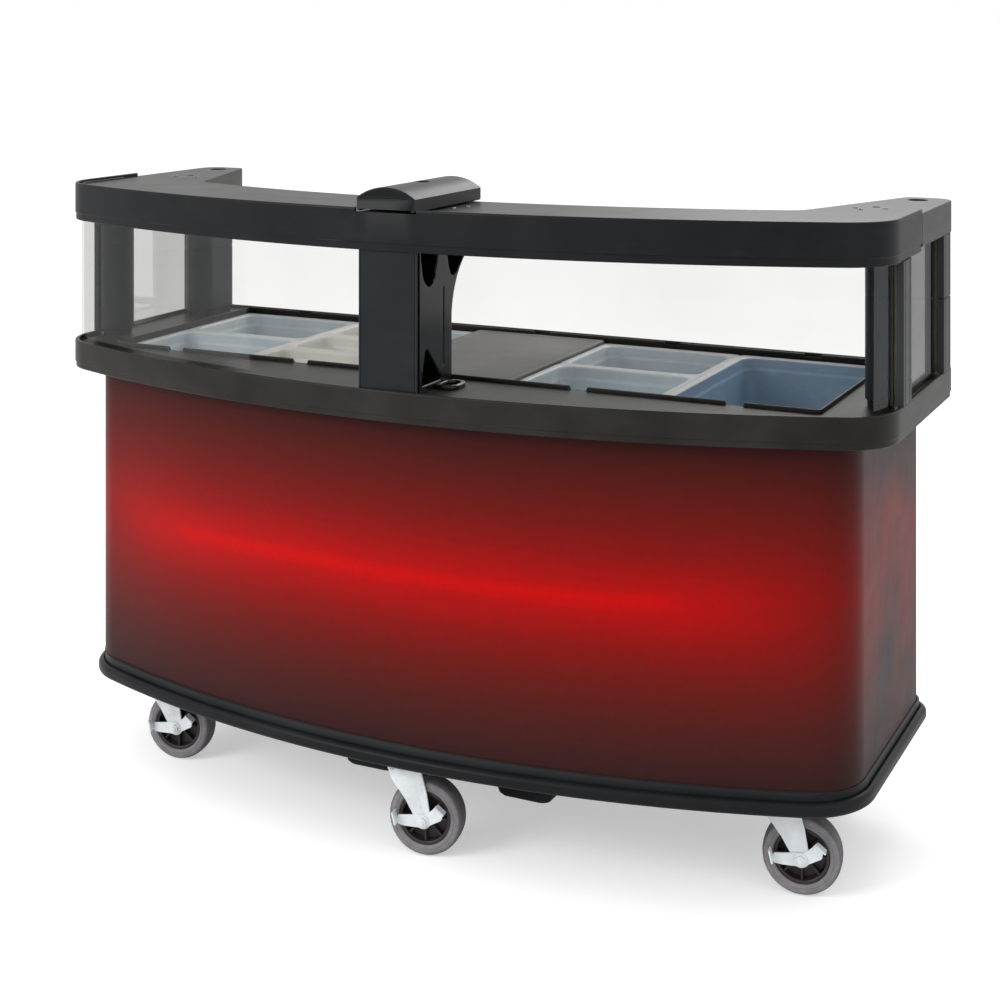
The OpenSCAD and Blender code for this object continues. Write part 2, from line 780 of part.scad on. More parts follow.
module drain_valve() color([0.72, 0.6, 0.3]) {
    body_top = tub_floor - 62 - gap;
    translate([drain_x, drain_y, 0]) difference() {
        union() {
            translate([0, 0, valve_z - 24]) cylinder(r = 22, h = body_top - valve_z + 24, $fn = 96);
            translate([0, 0, valve_z]) rotate([-90, 0, 0]) cylinder(r = 15, h = 60, $fn = 96);
            translate([0, 0, valve_z]) rotate([90, 0, 0]) cylinder(r = stem_r, h = 38, $fn = 48);
        }
        translate([0, 0, valve_z]) cylinder(r = 15, h = 60, $fn = 96);
        translate([0, 0, valve_z]) rotate([-90, 0, 0]) cylinder(r = 10, h = 61, $fn = 96);
    }
}

module drain_lever() color([0.75, 0.12, 0.1]) {
    translate([drain_x, drain_y - 26, valve_z]) rotate([90, 0, 0]) difference() {
        union() {
            cylinder(r = 11, h = 8, $fn = 64);
            translate([0, -7, 0]) cube([78, 14, 5]);
        }
        translate([0, 0, -1]) cylinder(r = stem_r + run, h = 10, $fn = 64);
    }
}

/* ---------- casters ---------- */

// Puts a caster's own frame, wheel trailing along +x, at its swivel axis.
module at_caster(p) {
    translate([p[0], p[1], 0]) rotate(trail_a) children();
}

module caster_plates() color([0.75, 0.77, 0.79]) {
    for (p = CASTERS) translate([p[0], p[1], 0]) difference() {
        union() {
            slab(base_z - plate_h, base_z) round_rect(100, 80, 8);
            translate([0, 0, crown_top + 1])
                cylinder(r = 34, h = base_z - plate_h - crown_top - 0.5, $fn = 96);
            translate([0, 0, crown_low - 7]) cylinder(r = pin_r, h = base_z - crown_low + 6, $fn = 64);
            translate([0, 0, crown_low - 7]) cylinder(r = 13, h = 6, $fn = 64);
        }
        for (x = [-1, 1], y = [-1, 1])
            translate([x * bolt_dx, y * bolt_dy, base_z - plate_h - 1])
                cylinder(r = bolt_r + gap, h = 9, $fn = 24);
        for (x = [-1, 1], y = [-1, 1])
            translate([x * bolt_dx, y * bolt_dy, crown_top])
                cylinder(r = 9, h = base_z - plate_h - crown_top, $fn = 32);
    }
}

module caster_bolts() color([0.7, 0.72, 0.74]) {
    for (p = CASTERS, x = [-1, 1], y = [-1, 1])
        translate([p[0] + x * bolt_dx, p[1] + y * bolt_dy, base_z - plate_h]) {
            translate([0, 0, -5]) cylinder(r = 7, h = 5, $fn = 6);
            translate([0, 0, -1]) cylinder(r = bolt_r, h = 27, $fn = 24);
        }
}

module fork(p, braked) color([0.78, 0.8, 0.82]) at_caster(p) {
    nut_y = leg_y + leg_t + (braked ? brake_t + 1.2 : gap);
    difference() {
        union() {
            translate([0, 0, crown_low]) cylinder(r = crown_r, h = crown_top - crown_low, $fn = 96);
            translate([-36, -leg_y - leg_t, crown_top - 8]) cube([72, 2 * (leg_y + leg_t), 8]);
            for (s = [-1, 1]) translate([0, s * (leg_y + leg_t / 2) + leg_t / 2, 0])
                rotate([90, 0, 0]) linear_extrude(leg_t) {
                    polygon([[-36, crown_top], [36, crown_top],
                             [lead + 17, axle_z + 4], [lead - 16.5, axle_z - 4]]);
                    translate([lead, axle_z]) circle(17, $fn = 64);
                }
        }
        translate([0, 0, crown_low - 1]) cylinder(r = pin_r + run, h = 40, $fn = 64);
        translate([lead, 0, axle_z]) rotate([90, 0, 0])
            cylinder(r = axle_r + gap, h = 3 * leg_y, center = true, $fn = 64);
    }
    // axle bolt and nut
    translate([lead, 0, axle_z]) rotate([90, 0, 0]) {
        cylinder(r = axle_r, h = 2 * nut_y + 2, center = true, $fn = 64);
        translate([0, 0, nut_y]) cylinder(r = 10, h = 8, $fn = 6);
        translate([0, 0, -nut_y - 7]) cylinder(r = 10, h = 7, $fn = 6);
    }
}

module wheel_core(p) color([0.28, 0.25, 0.25]) at_caster(p)
    translate([lead, 0, axle_z]) rotate([90, 0, 0]) {
        rim_r = 54;
        hub_r = 17;
        hub_l = wheel_w + 4;
        difference() {
            union() {
                cylinder(r = hub_r, h = hub_l, center = true, $fn = 96);
                cylinder(r = rim_r - 4, h = 10, center = true, $fn = 128);
                for (a = [0 : 45 : 135]) rotate(a)
                    cube([2 * rim_r - 8, 5, wheel_w - 16], center = true);
                difference() {
                    cylinder(r = rim_r, h = wheel_w - 8, center = true, $fn = 128);
                    cylinder(r = rim_r - 7, h = wheel_w, center = true, $fn = 128);
                }
            }
            cylinder(r = axle_r + run, h = hub_l + 2, center = true, $fn = 64);
        }
    }

module wheel_tyre(p) color([0.45, 0.45, 0.47]) at_caster(p)
    translate([lead, 0, axle_z]) rotate([90, 0, 0]) rotate_extrude($fn = 160)
        polygon([[54, -wheel_w / 2 + 3], [60, -wheel_w / 2],
                 [axle_z - 8, -wheel_w / 2], [axle_z, -wheel_w / 2 + 9],
                 [axle_z, wheel_w / 2 - 9], [axle_z - 8, wheel_w / 2],
                 [60, wheel_w / 2], [54, wheel_w / 2 - 3]]);

// Rocker pedal of the side lock, hung on the axle outside the front leg.
module brake_pedal(p) color([0.82, 0.84, 0.86]) at_caster(p)
    translate([lead, -leg_y - leg_t - 0.6, axle_z]) rotate([90, 0, 0]) difference() {
        union() {
            cylinder(r = 15, h = brake_t, $fn = 64);
            linear_extrude(brake_t) polygon([[0, 12], [-40, 10], [-52, -2], [-38, -14], [0, -14]]);
            linear_extrude(brake_t) polygon([[6, -10], [40, 6], [44, 26], [30, 36], [-4, 14]]);
            // tabs that the foot presses
            translate([-54, -8, 0]) rotate(14) cube([4, 26, 20]);
            translate([30, 34, 0]) rotate(-38) cube([22, 4, 18]);
        }
        translate([0, 0, -1]) cylinder(r = axle_r + run, h = 30, $fn = 64);
    }

module fork_front_left() fork(FRONT_LEFT, true);
module core_front_left() wheel_core(FRONT_LEFT);
module tyre_front_left() wheel_tyre(FRONT_LEFT);
module brake_front_left() brake_pedal(FRONT_LEFT);
module fork_front_centre() fork(FRONT_CENTRE, true);
module core_front_centre() wheel_core(FRONT_CENTRE);
module tyre_front_centre() wheel_tyre(FRONT_CENTRE);
module brake_front_centre() brake_pedal(FRONT_CENTRE);
module fork_front_right() fork(FRONT_RIGHT, true);
module core_front_right() wheel_core(FRONT_RIGHT);
module tyre_front_right() wheel_tyre(FRONT_RIGHT);
module brake_front_right() brake_pedal(FRONT_RIGHT);
module fork_rear_left() fork(REAR_LEFT, false);
module core_rear_left() wheel_core(REAR_LEFT);
module tyre_rear_left() wheel_tyre(REAR_LEFT);
module fork_rear_right() fork(REAR_RIGHT, false);
module core_rear_right() wheel_core(REAR_RIGHT);
module tyre_rear_right() wheel_tyre(REAR_RIGHT);

base_deck();
body_shell();
front_wrap();
bay_divider();
storage_shelves();
counter_top();
well_insulation();
well_shell();
pan_bars();
pan_half_left_front();
pan_half_left_rear();
pan_third_front();
pan_third_middle();
pan_sixth_left();
pan_sixth_right();
well_cover();
pan_half_right_front();
pan_half_right_rear();
pan_full_right();
top_shelf();
fascia_band();
clamp_bar();
centre_post();
centre_bracket();
post_front_left();
post_front_right();
post_rear_left();
post_rear_right();
guard_front_left();
guard_front_right();
guard_end_left();
guard_end_right();
guard_trims();
clamp_screws();
shelf_screws();
drain_fitting();
drain_strainer();
drain_valve();
drain_lever();
caster_plates();
caster_bolts();
fork_front_left();
core_front_left();
tyre_front_left();
brake_front_left();
fork_front_centre();
core_front_centre();
tyre_front_centre();
brake_front_centre();
fork_front_right();
core_front_right();
tyre_front_right();
brake_front_right();
fork_rear_left();
core_rear_left();
tyre_rear_left();
fork_rear_right();
core_rear_right();
tyre_rear_right();
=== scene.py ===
import math

import bmesh
import bpy
from mathutils import Matrix, Vector


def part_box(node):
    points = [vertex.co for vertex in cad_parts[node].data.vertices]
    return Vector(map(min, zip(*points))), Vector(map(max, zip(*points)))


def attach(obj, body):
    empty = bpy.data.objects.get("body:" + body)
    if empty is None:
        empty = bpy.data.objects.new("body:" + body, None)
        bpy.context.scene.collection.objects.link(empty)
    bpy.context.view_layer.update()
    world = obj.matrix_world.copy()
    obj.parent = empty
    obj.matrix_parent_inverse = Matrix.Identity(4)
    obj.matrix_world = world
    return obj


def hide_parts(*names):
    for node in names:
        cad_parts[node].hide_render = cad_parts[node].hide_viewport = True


# Looks for the mobile food bar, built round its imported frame. Lengths in the
# shape code are millimetres in the frame's own axes; piece() turns them to metres.

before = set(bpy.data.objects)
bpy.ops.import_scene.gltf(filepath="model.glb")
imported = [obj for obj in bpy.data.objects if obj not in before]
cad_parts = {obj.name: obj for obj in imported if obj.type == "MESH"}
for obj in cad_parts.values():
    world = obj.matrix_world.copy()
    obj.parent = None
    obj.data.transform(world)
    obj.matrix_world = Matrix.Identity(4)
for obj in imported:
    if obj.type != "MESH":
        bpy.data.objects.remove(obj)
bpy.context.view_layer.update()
MM = 0.001
PI = math.pi
UP = Matrix.Identity(4)
ALONG_Y = Matrix.Rotation(PI / 2, 4, "X")       # local +Z turned to -Y


def mm(node):
    lo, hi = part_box(node)
    return lo / MM, hi / MM


def at_xy(x, y):
    return Matrix.Translation((x, y, 0))


# ---------------------------------------------------------------- sizes
counter_lo, counter_hi = mm("counter_top")
shelf_lo, shelf_hi = mm("top_shelf")
wrap_lo, wrap_hi = mm("front_wrap")
base_lo, base_hi = mm("base_deck")
fascia_lo, fascia_hi = mm("fascia_band")
cover_lo, cover_hi = mm("well_cover")
bar_lo, bar_hi = mm("clamp_bar")
guard_lo, guard_hi = mm("guard_front_left")
post_lo, post_hi = mm("centre_post")

half = counter_hi.x
front_y = counter_lo.y
counter_rear = counter_hi.y
shelf_rear = shelf_hi.y
lip_z = counter_hi.z
band_z = wrap_hi.z + 2
deck_z = lip_z - 8
ledge_z = deck_z - 9
deck_low = ledge_z - 14
floor_z = wrap_lo.z
base_z = floor_z - 28
shelf_top = shelf_hi.z
shelf_low = shelf_top - 8
tub_floor = counter_lo.z + 4
pan_w = cover_hi.x - cover_lo.x + 1
pan_l = cover_hi.y - cover_lo.y + 1
well_mid = (cover_lo.y + cover_hi.y) / 2

BOW_R = 2450.0
CORNER_R = 120.0
REAR_R = 45.0
FASCIA_END = front_y + 456
FASCIA_T = 8.0
BOLT_Y = front_y + 150
TRIM_W, TRIM_L, TRIM_SLOT = 26.5, 65.0, 12.0
TRIM_Y = front_y + 331.5
TRIM_REAR_Y = front_y + 687.5
POST_FLAT_X = half - TRIM_W - 0.2
POST_FRONT_X = half - 42.5
POST_FRONT_R = 38.5
GUARD_IN = 14.0
GUARD_T = 6.0


# ---------------------------------------------------------------- outlines
def arc(cx, cy, r, a0, a1, n):
    """Points on an arc with their outward normals."""
    angles = [a0 + (a1 - a0) * i / n for i in range(n + 1)]
    return [(cx + r * math.cos(a), cy + r * math.sin(a), math.cos(a), math.sin(a)) for a in angles]


def line(p, q, normal, n):
    """Evenly spaced points from p to q with one normal."""
    return [(p[0] + (q[0] - p[0]) * i / n, p[1] + (q[1] - p[1]) * i / n, *normal) for i in range(n + 1)]


def xy(points):
    return [tuple(p[:2]) for p in points]


def mirrored(points):
    """The outline seen in a mirror across x = 0, in the same turning sense."""
    return [(-p[0], p[1]) for p in reversed(points)]


def bow_corner(hw, front, r, c):
    """Centre of the front corner's arc and the angle at which the bow meets it."""
    cy = front + r
    fx = hw - c
    fy = cy - math.sqrt((r - c) ** 2 - fx * fx)
    return fx, fy, math.atan2(fy - cy, fx)


def bow_open(hw, front, r, c, side_y, n=84):
    """The bowed front and its corners, from the left end at side_y round to the right end."""
    fx, fy, a = bow_corner(hw, front, r, c)
    path = line((-hw, side_y), (-hw, fy), (-1, 0), 10)
    path += arc(-fx, fy, c, -PI, -PI - a, 20)[1:]
    path += arc(0, front + r, r, -PI - a, a, n)[1:]
    path += arc(fx, fy, c, a, 0, 20)[1:]
    return path + line((hw, fy), (hw, side_y), (1, 0), 10)[1:]


def bow_closed(hw, front, rear, r, c, rc, n=84):
    """The bowed front closed by a straight rear with corners of radius rc."""
    path = bow_open(hw, front, r, c, rear - rc, n)
    path += arc(hw - rc, rear - rc, rc, 0, PI / 2, 12)[1:]
    path += line((hw - rc, rear), (rc - hw, rear), (0, 1), 24)[1:]
    return path + arc(rc - hw, rear - rc, rc, PI / 2, PI, 12)[1:-1]


def fillet(points, seg=5, closed=True):
    """A polygon of (x, y) or (x, y, radius) corners with its corners rounded."""
    out = []
    n = len(points)
    for i, p in enumerate(points):
        r = p[2] if len(p) > 2 else 0
        if r <= 0 or (not closed and i in (0, n - 1)):
            out.append((p[0], p[1]))
            continue
        b = Vector(p[:2])
        u = (Vector(points[i - 1][:2]) - b).normalized()
        v = (Vector(points[(i + 1) % n][:2]) - b).normalized()
        h = u.angle(v) / 2
        centre = b + (u + v).normalized() * (r / math.sin(h))
        s = b + u * (r / math.tan(h)) - centre
        e = b + v * (r / math.tan(h)) - centre
        turn = math.atan2(s.x * e.y - s.y * e.x, s.dot(e))
        a0 = math.atan2(s.y, s.x)
        out += xy(arc(centre.x, centre.y, r, a0, a0 + turn, seg))
    return out


def round_rect(w, l, r, seg=8):
    x, y = w / 2, l / 2
    return fillet([(-x, -y, r), (x, -y, r), (x, y, r), (-x, y, r)], seg)


def circle(r, n=48):
    return [(r * math.cos(2 * PI * i / n), r * math.sin(2 * PI * i / n)) for i in range(n)]


def hexagon(r, a):
    """Distance from the centre to the side of a hexagon of corner radius r, at angle a."""
    return r * math.cos(PI / 6) / math.cos((a + PI / 6) % (PI / 3) - PI / 6)


def area(outline):
    """Signed area, positive where the outline runs anticlockwise."""
    return sum(outline[i - 1][0] * p[1] - p[0] * outline[i - 1][1] for i, p in enumerate(outline)) / 2


def offset(outline, d):
    """A closed outline that runs anticlockwise, moved inward by d."""
    if abs(d) < 1e-9:
        return list(outline)
    out = []
    n = len(outline)
    for i in range(n):
        a, b, c = (Vector(outline[k]) for k in (i - 1, i, (i + 1) % n))
        u = (b - a).normalized() if (b - a).length > 1e-7 else (c - b).normalized()
        v = (c - b).normalized() if (c - b).length > 1e-7 else u
        m = Vector((-u.y - v.y, u.x + v.x))
        m = m.normalized() if m.length > 1e-6 else Vector((-u.y, u.x))
        k = max(0.35, Vector((-u.y, u.x)).dot(m))
        out.append(tuple(b + m * (d / k)))
    return out


def rounding(r, seg):
    """Steps (inset, set back) down a rounded edge, from its full height to the wall."""
    angles = [PI / 2 * k / seg for k in range(seg + 1)]
    return [(r * (1 - math.cos(a)), r * (1 - math.sin(a))) for a in angles]


def edges(z0, z1, r0, r1, seg=4):
    """Levels (inset, z) of an upright wall with rounded lower and upper edges."""
    return [(i, z0 + b) for b, i in rounding(r0, seg)] + [(i, z1 - b) for i, b in rounding(r1, seg)]


# ---------------------------------------------------------------- solids
def loft(bm, loops, ring=True, caps=True, wrap=False, mats=None, at=UP):
    """Quads between loops of equal length, closed by end faces or back on itself."""
    rows = [[bm.verts.new(at @ Vector(p)) for p in loop] for loop in loops]
    n = len(rows[0])
    pairs = list(zip(rows, rows[1:])) + ([(rows[-1], rows[0])] if wrap else [])
    for a, b in pairs:
        for i in range(n if ring else n - 1):
            j = (i + 1) % n
            face = bm.faces.new((a[i], a[j], b[j], b[i]))
            if mats:
                face.material_index = mats[i]
    if caps and not wrap:
        for row in (rows[0], rows[-1]):
            face = bm.faces.new(row)
            if mats:
                face.material_index = max(mats)
    return rows


def flat(outline, z, x=0, y=0):
    return [(p[0] + x, p[1] + y, z) for p in outline]


def tower(bm, outline, levels, x=0, y=0, at=UP):
    """A solid whose level sets are one outline, inset level by level."""
    return loft(bm, [flat(offset(outline, i), z, x, y) for i, z in levels], at=at)


def lathe(bm, profile, n=64, wrap=False, at=UP):
    """Profile of (radius, z) turned about Z."""
    return loft(bm, [flat(circle(max(r, 1e-3), n), z) for r, z in profile], caps=not wrap, wrap=wrap, at=at)


def sweep(bm, path, profile, end_r=0.0, mats=None):
    """Profile of (outward offset, z) carried along an open path, its ends rounded by end_r."""
    sign = 1 if area(profile) > 0 else -1

    def near_end(k, neighbour, inset, back):
        p, q = Vector(path[k][:2]), Vector(path[neighbour][:2])
        s = p + (q - p).normalized() * back
        return [(s.x + path[k][2] * o, s.y + path[k][3] * o, z) for o, z in offset(profile, sign * inset)]

    steps = rounding(end_r, 4)[::-1] if end_r else [(0, 0)]
    loops = [near_end(0, 1, *step) for step in steps]
    loops += [[(x + nx * o, y + ny * o, z) for o, z in profile] for x, y, nx, ny in path[1:-1]]
    loops += [near_end(-1, -2, *step) for step in reversed(steps)]
    return loft(bm, loops, mats=mats)


def fill(bm, *rims):
    """Flat face with holes between closed loops of vertices."""
    lines = []
    for rim in rims:
        for i, v in enumerate(rim):
            lines.append(bm.edges.get((rim[i - 1], v)) or bm.edges.new((rim[i - 1], v)))
    bmesh.ops.triangle_fill(bm, use_beauty=True, edges=lines)


def new_object(name, data):
    obj = bpy.data.objects.new(name, data)
    bpy.context.scene.collection.objects.link(obj)
    return obj


def passing(bm):
    """The bmesh as a short-lived object."""
    mesh = bpy.data.meshes.new("passing")
    bm.to_mesh(mesh)
    bm.free()
    return new_object("passing", mesh)


def applied(*objs):
    """The first object's mesh with its modifiers applied, as a bmesh; all the objects go."""
    dg = bpy.context.evaluated_depsgraph_get()
    mesh = bpy.data.meshes.new_from_object(objs[0].evaluated_get(dg))
    out = bmesh.new()
    out.from_mesh(mesh)
    bpy.data.meshes.remove(mesh)
    for obj in objs:
        data = obj.data
        bpy.data.objects.remove(obj)
        bpy.data.meshes.remove(data)
    return out


def carve(bm, cutter):
    """bm less cutter, as a new bmesh."""
    for b in (bm, cutter):
        bmesh.ops.remove_doubles(b, verts=b.verts, dist=1e-4)
        bmesh.ops.recalc_face_normals(b, faces=b.faces)
    body, tool = passing(bm), passing(cutter)
    cut = body.modifiers.new("cut", "BOOLEAN")
    cut.operation = "DIFFERENCE"
    cut.solver = "EXACT"
    cut.object = tool
    return applied(body, tool)


def melt(bm, voxel, rounds):
    """The solid with its inner corners run soft, as a casting's are."""
    obj = passing(bm)
    remesh = obj.modifiers.new("remesh", "REMESH")
    remesh.mode = "VOXEL"
    remesh.voxel_size = voxel
    soft = obj.modifiers.new("soft", "SMOOTH")
    soft.factor = 0.5
    soft.iterations = rounds
    return applied(obj)


def piece(name, bm, body, mats, stands_for, slot, sharp=40, uv=None, normals=True):
    """Makes the bmesh an object that rides on a body and stands for a CAD node."""
    bmesh.ops.remove_doubles(bm, verts=bm.verts, dist=1e-3)
    bmesh.ops.recalc_face_normals(bm, faces=bm.faces)
    for e in bm.edges:
        e.smooth = len(e.link_faces) == 2 and e.calc_face_angle(0) < math.radians(sharp)
    for f in bm.faces:
        f.smooth = True
    if uv:
        layer = bm.loops.layers.uv.new("UVMap")
        for f in bm.faces:
            for l in f.loops:
                l[layer].uv = uv(l.vert.co)
    bmesh.ops.scale(bm, vec=(MM, MM, MM), verts=bm.verts)
    mesh = bpy.data.meshes.new(name)
    bm.to_mesh(mesh)
    bm.free()
    obj = new_object(name, mesh)
    for m in mats if isinstance(mats, list) else [mats]:
        mesh.materials.append(m)
    if normals:
        obj.modifiers.new("normals", "WEIGHTED_NORMAL").keep_sharp = True
    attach(obj, body)
    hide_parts(stands_for)
    return obj


# ---------------------------------------------------------------- materials
def rgb(r, g, b):
    """Linear colour of a display colour, 0 to 255."""
    def lin(c):
        c /= 255
        return c / 12.92 if c <= 0.04045 else ((c + 0.055) / 1.055) ** 2.4
    return (lin(r), lin(g), lin(b), 1.0)


def shade(colour, k, more=0.0):
    """The colour times k, plus more, up to white."""
    return tuple(min(1.0, c * k + more) for c in colour[:3]) + (1.0,)


class Graph:
    """A node material under construction."""

    def __init__(self, name):
        self.mat = bpy.data.materials.new(name)
        self.mat.use_nodes = True
        self.tree = self.mat.node_tree
        self.tree.nodes.clear()
        self.place = self.add("ShaderNodeTexCoord").outputs["Object"]

    def add(self, kind, inputs=None, **props):
        node = self.tree.nodes.new(kind)
        for k, v in props.items():
            setattr(node, k, v)
        for k, v in (inputs or {}).items():
            self.put(node.inputs[k], v)
        return node

    def put(self, socket, value):
        if isinstance(value, bpy.types.NodeSocket):
            self.tree.links.new(value, socket)
        else:
            socket.default_value = value

    def stretch(self, scale, source=None):
        return self.add("ShaderNodeMapping", {"Vector": source or self.place, "Scale": scale}).outputs[0]

    def noise(self, scale, detail=3.0, rough=0.5, source=None, warp=0.0):
        return self.add("ShaderNodeTexNoise", {"Vector": source or self.place, "Scale": scale,
                        "Detail": detail, "Roughness": rough, "Distortion": warp}).outputs[0]

    def math(self, op, a, b=0.0, clamp=False):
        node = self.add("ShaderNodeMath", operation=op, use_clamp=clamp)
        self.put(node.inputs[0], a)
        self.put(node.inputs[1], b)
        return node.outputs[0]

    def mul(self, a, b):
        return self.math("MULTIPLY", a, b)

    def plus(self, a, b, clamp=False):
        return self.math("ADD", a, b, clamp)

    def minus(self, a, b):
        return self.math("SUBTRACT", a, b)

    def span(self, x, a, b, smooth=False):
        """x taken from the range a to b to the range 0 to 1."""
        return self.add("ShaderNodeMapRange", {"Value": x, "From Min": a, "From Max": b, "To Min": 0.0,
                        "To Max": 1.0}, interpolation_type="SMOOTHSTEP" if smooth else "LINEAR").outputs[0]

    def mix(self, f, a, b, blend="MIX"):
        node = self.add("ShaderNodeMix", data_type="RGBA", blend_type=blend)
        for i, v in ((0, f), (6, a), (7, b)):
            self.put(node.inputs[i], v)
        return node.outputs[2]

    def ramp(self, f, stops):
        node = self.add("ShaderNodeValToRGB", {"Fac": f})
        bar = node.color_ramp.elements
        bar[0].position, bar[0].color = stops[0]
        bar[1].position, bar[1].color = stops[-1]
        for pos, col in stops[1:-1]:
            bar.new(pos).color = col
        return node.outputs[0]

    def bump(self, height, strength, distance, normal=None):
        ins = {"Height": height, "Strength": strength, "Distance": distance}
        if normal is not None:
            ins["Normal"] = normal
        return self.add("ShaderNodeBump", ins).outputs[0]

    def edge_mask(self):
        """1 on sharp outer edges, 0 elsewhere."""
        return self.span(self.add("ShaderNodeNewGeometry").outputs["Pointiness"], 0.52, 0.6)

    def surface(self, inputs):
        return self.add("ShaderNodeBsdfPrincipled", inputs).outputs[0]

    def layer(self, f, a, b):
        """Shader a with b over it by the amount f."""
        node = self.add("ShaderNodeMixShader", {"Fac": f})
        self.put(node.inputs[1], a)
        self.put(node.inputs[2], b)
        return node.outputs[0]

    def done(self, shader):
        out = self.add("ShaderNodeOutputMaterial")
        self.tree.links.new(shader, out.inputs["Surface"])
        return self.mat


def moulding(name, colour, rough, peel, wave, edge=1.6, spec=0.5, tint=None, sheen=1.0, rim=0.01):
    """Moulded plastic: slow mottling, an orange-peel skin, faint rub marks and paler edges as a painted
    highlight.
    """
    g = Graph(name)
    slow = g.noise(5.0, 4.0, 0.6)
    fine = g.noise(330.0, 2.0, 0.5)
    rub = g.noise(9.0, 6.0, 0.65, g.stretch((1.0, 1.0, 3.2)), 0.4)
    base = g.mix(g.span(slow, 0.3, 0.7), shade(colour, 0.78), tint or shade(colour, 1.3))
    base = g.mix(g.mul(g.span(rub, 0.56, 0.8), 0.3), base, shade(colour, 1.8, 0.012))
    # paler sharp edges, a painted highlight: edge scales the colour there and rim adds to it
    base = g.mix(g.mul(g.edge_mask(), 0.55), base, shade(colour, edge, rim))
    r = g.plus(rough - 0.06, g.mul(rub, 0.12))
    r = g.plus(r, g.mul(fine, 0.05))
    n = g.bump(g.noise(7.0, 2.0, 0.4), wave, 0.004)
    n = g.bump(fine, peel, 0.0006, n)
    return g.done(g.surface({"Base Color": base, "Roughness": r, "Normal": n,
                             "Specular IOR Level": spec, "Specular Tint": (sheen, sheen, sheen, 1.0)}))


def metal(name, colour, rough=0.3, brushed=0.0, dull=0.12, whole=1.0):
    """Plated or brushed metal with a fine crystalline or drawn surface."""
    g = Graph(name)
    grain = g.noise(160.0, 4.0, 0.6, g.stretch((1.0, 1.0, 0.04 if brushed else 1.0)))
    cloud = g.noise(26.0, 5.0, 0.6)
    base = g.mix(g.span(cloud, 0.35, 0.7), shade(colour, 0.8), colour)
    base = g.mix(g.mul(g.edge_mask(), 0.4), base, (0.95, 0.96, 0.98, 1.0))
    r = g.plus(rough - dull / 2, g.mul(cloud, dull))
    r = g.plus(r, g.mul(grain, 0.1))
    n = g.bump(grain, 0.08 + brushed * 0.1, 0.0004)
    n = g.bump(g.noise(14.0, 2.0), 0.12, 0.002, n)
    return g.done(g.surface({"Base Color": base, "Roughness": r, "Normal": n, "Metallic": whole}))


def rubber(name, colour, rough, grip):
    """Grey rubber with cloudy wear, pale dust and a fine grain."""
    g = Graph(name)
    cloud = g.noise(45.0, 5.0, 0.65)
    base = g.mix(g.span(cloud, 0.3, 0.75), shade(colour, 0.8), shade(colour, 1.25))
    dust = g.span(g.noise(120.0, 4.0, 0.7), 0.55, 0.8)
    base = g.mix(g.mul(dust, 0.25), base, rgb(168, 164, 160))
    r = g.plus(rough, g.mul(cloud, 0.12))
    n = g.bump(g.noise(700.0, 2.0), grip, 0.0004)
    return g.done(g.surface({"Base Color": base, "Roughness": r, "Normal": n,
                             "Specular IOR Level": 0.35}))


def clear_sheet(name, face, start, sheen):
    """Clear sheet: tinted by faint smears, with a sheen where its Fresnel reflection passes start.

    Only the camera sees the sheen, so that it throws no light spots on the posts.
    """
    g = Graph(name)
    smear = g.noise(3.0, 5.0, 0.6, g.stretch((1.0, 1.0, 0.4)))
    fres = g.add("ShaderNodeFresnel", {"IOR": 1.46}).outputs[0]
    tint = g.mix(g.span(smear, 0.35, 0.8), face, shade(face, 0.965))
    see = g.add("ShaderNodeBsdfTransparent", {"Color": tint}).outputs[0]
    shine = g.add("ShaderNodeBsdfGlossy", {"Color": (1, 1, 1, 1),
                  "Roughness": g.plus(0.03, g.mul(smear, 0.03)),
                  "Normal": g.bump(g.noise(2.5, 1.0), 0.03, 0.004)}).outputs[0]
    seen = g.add("ShaderNodeLightPath").outputs["Is Camera Ray"]
    return g.done(g.layer(g.mul(g.mul(g.span(fres, start, 1.0), sheen), seen), see, shine))


def translucent(name, colour, see, clear, rough=0.28):
    """Milky plastic: part see-through, part scattering, with a gloss and faint rub marks."""
    g = Graph(name)
    cloud = g.noise(12.0, 4.0, 0.6)
    rub = g.noise(40.0, 6.0, 0.7, g.stretch((1.0, 1.0, 2.0)))
    col = g.mix(g.span(cloud, 0.3, 0.7), shade(colour, 0.92), colour)
    skin = g.surface({"Base Color": col, "Normal": g.bump(g.noise(420.0, 2.0), 0.05, 0.0005),
                      "Specular IOR Level": 0.5, "Roughness": g.plus(rough, g.mul(rub, 0.12))})
    glow = g.add("ShaderNodeBsdfTranslucent", {"Color": col}).outputs[0]
    through = g.add("ShaderNodeBsdfTransparent", {"Color": clear}).outputs[0]
    amount = g.minus(see, g.mul(g.span(rub, 0.5, 0.8), 0.12))
    return g.done(g.layer(amount, g.layer(0.35, skin, glow), through))


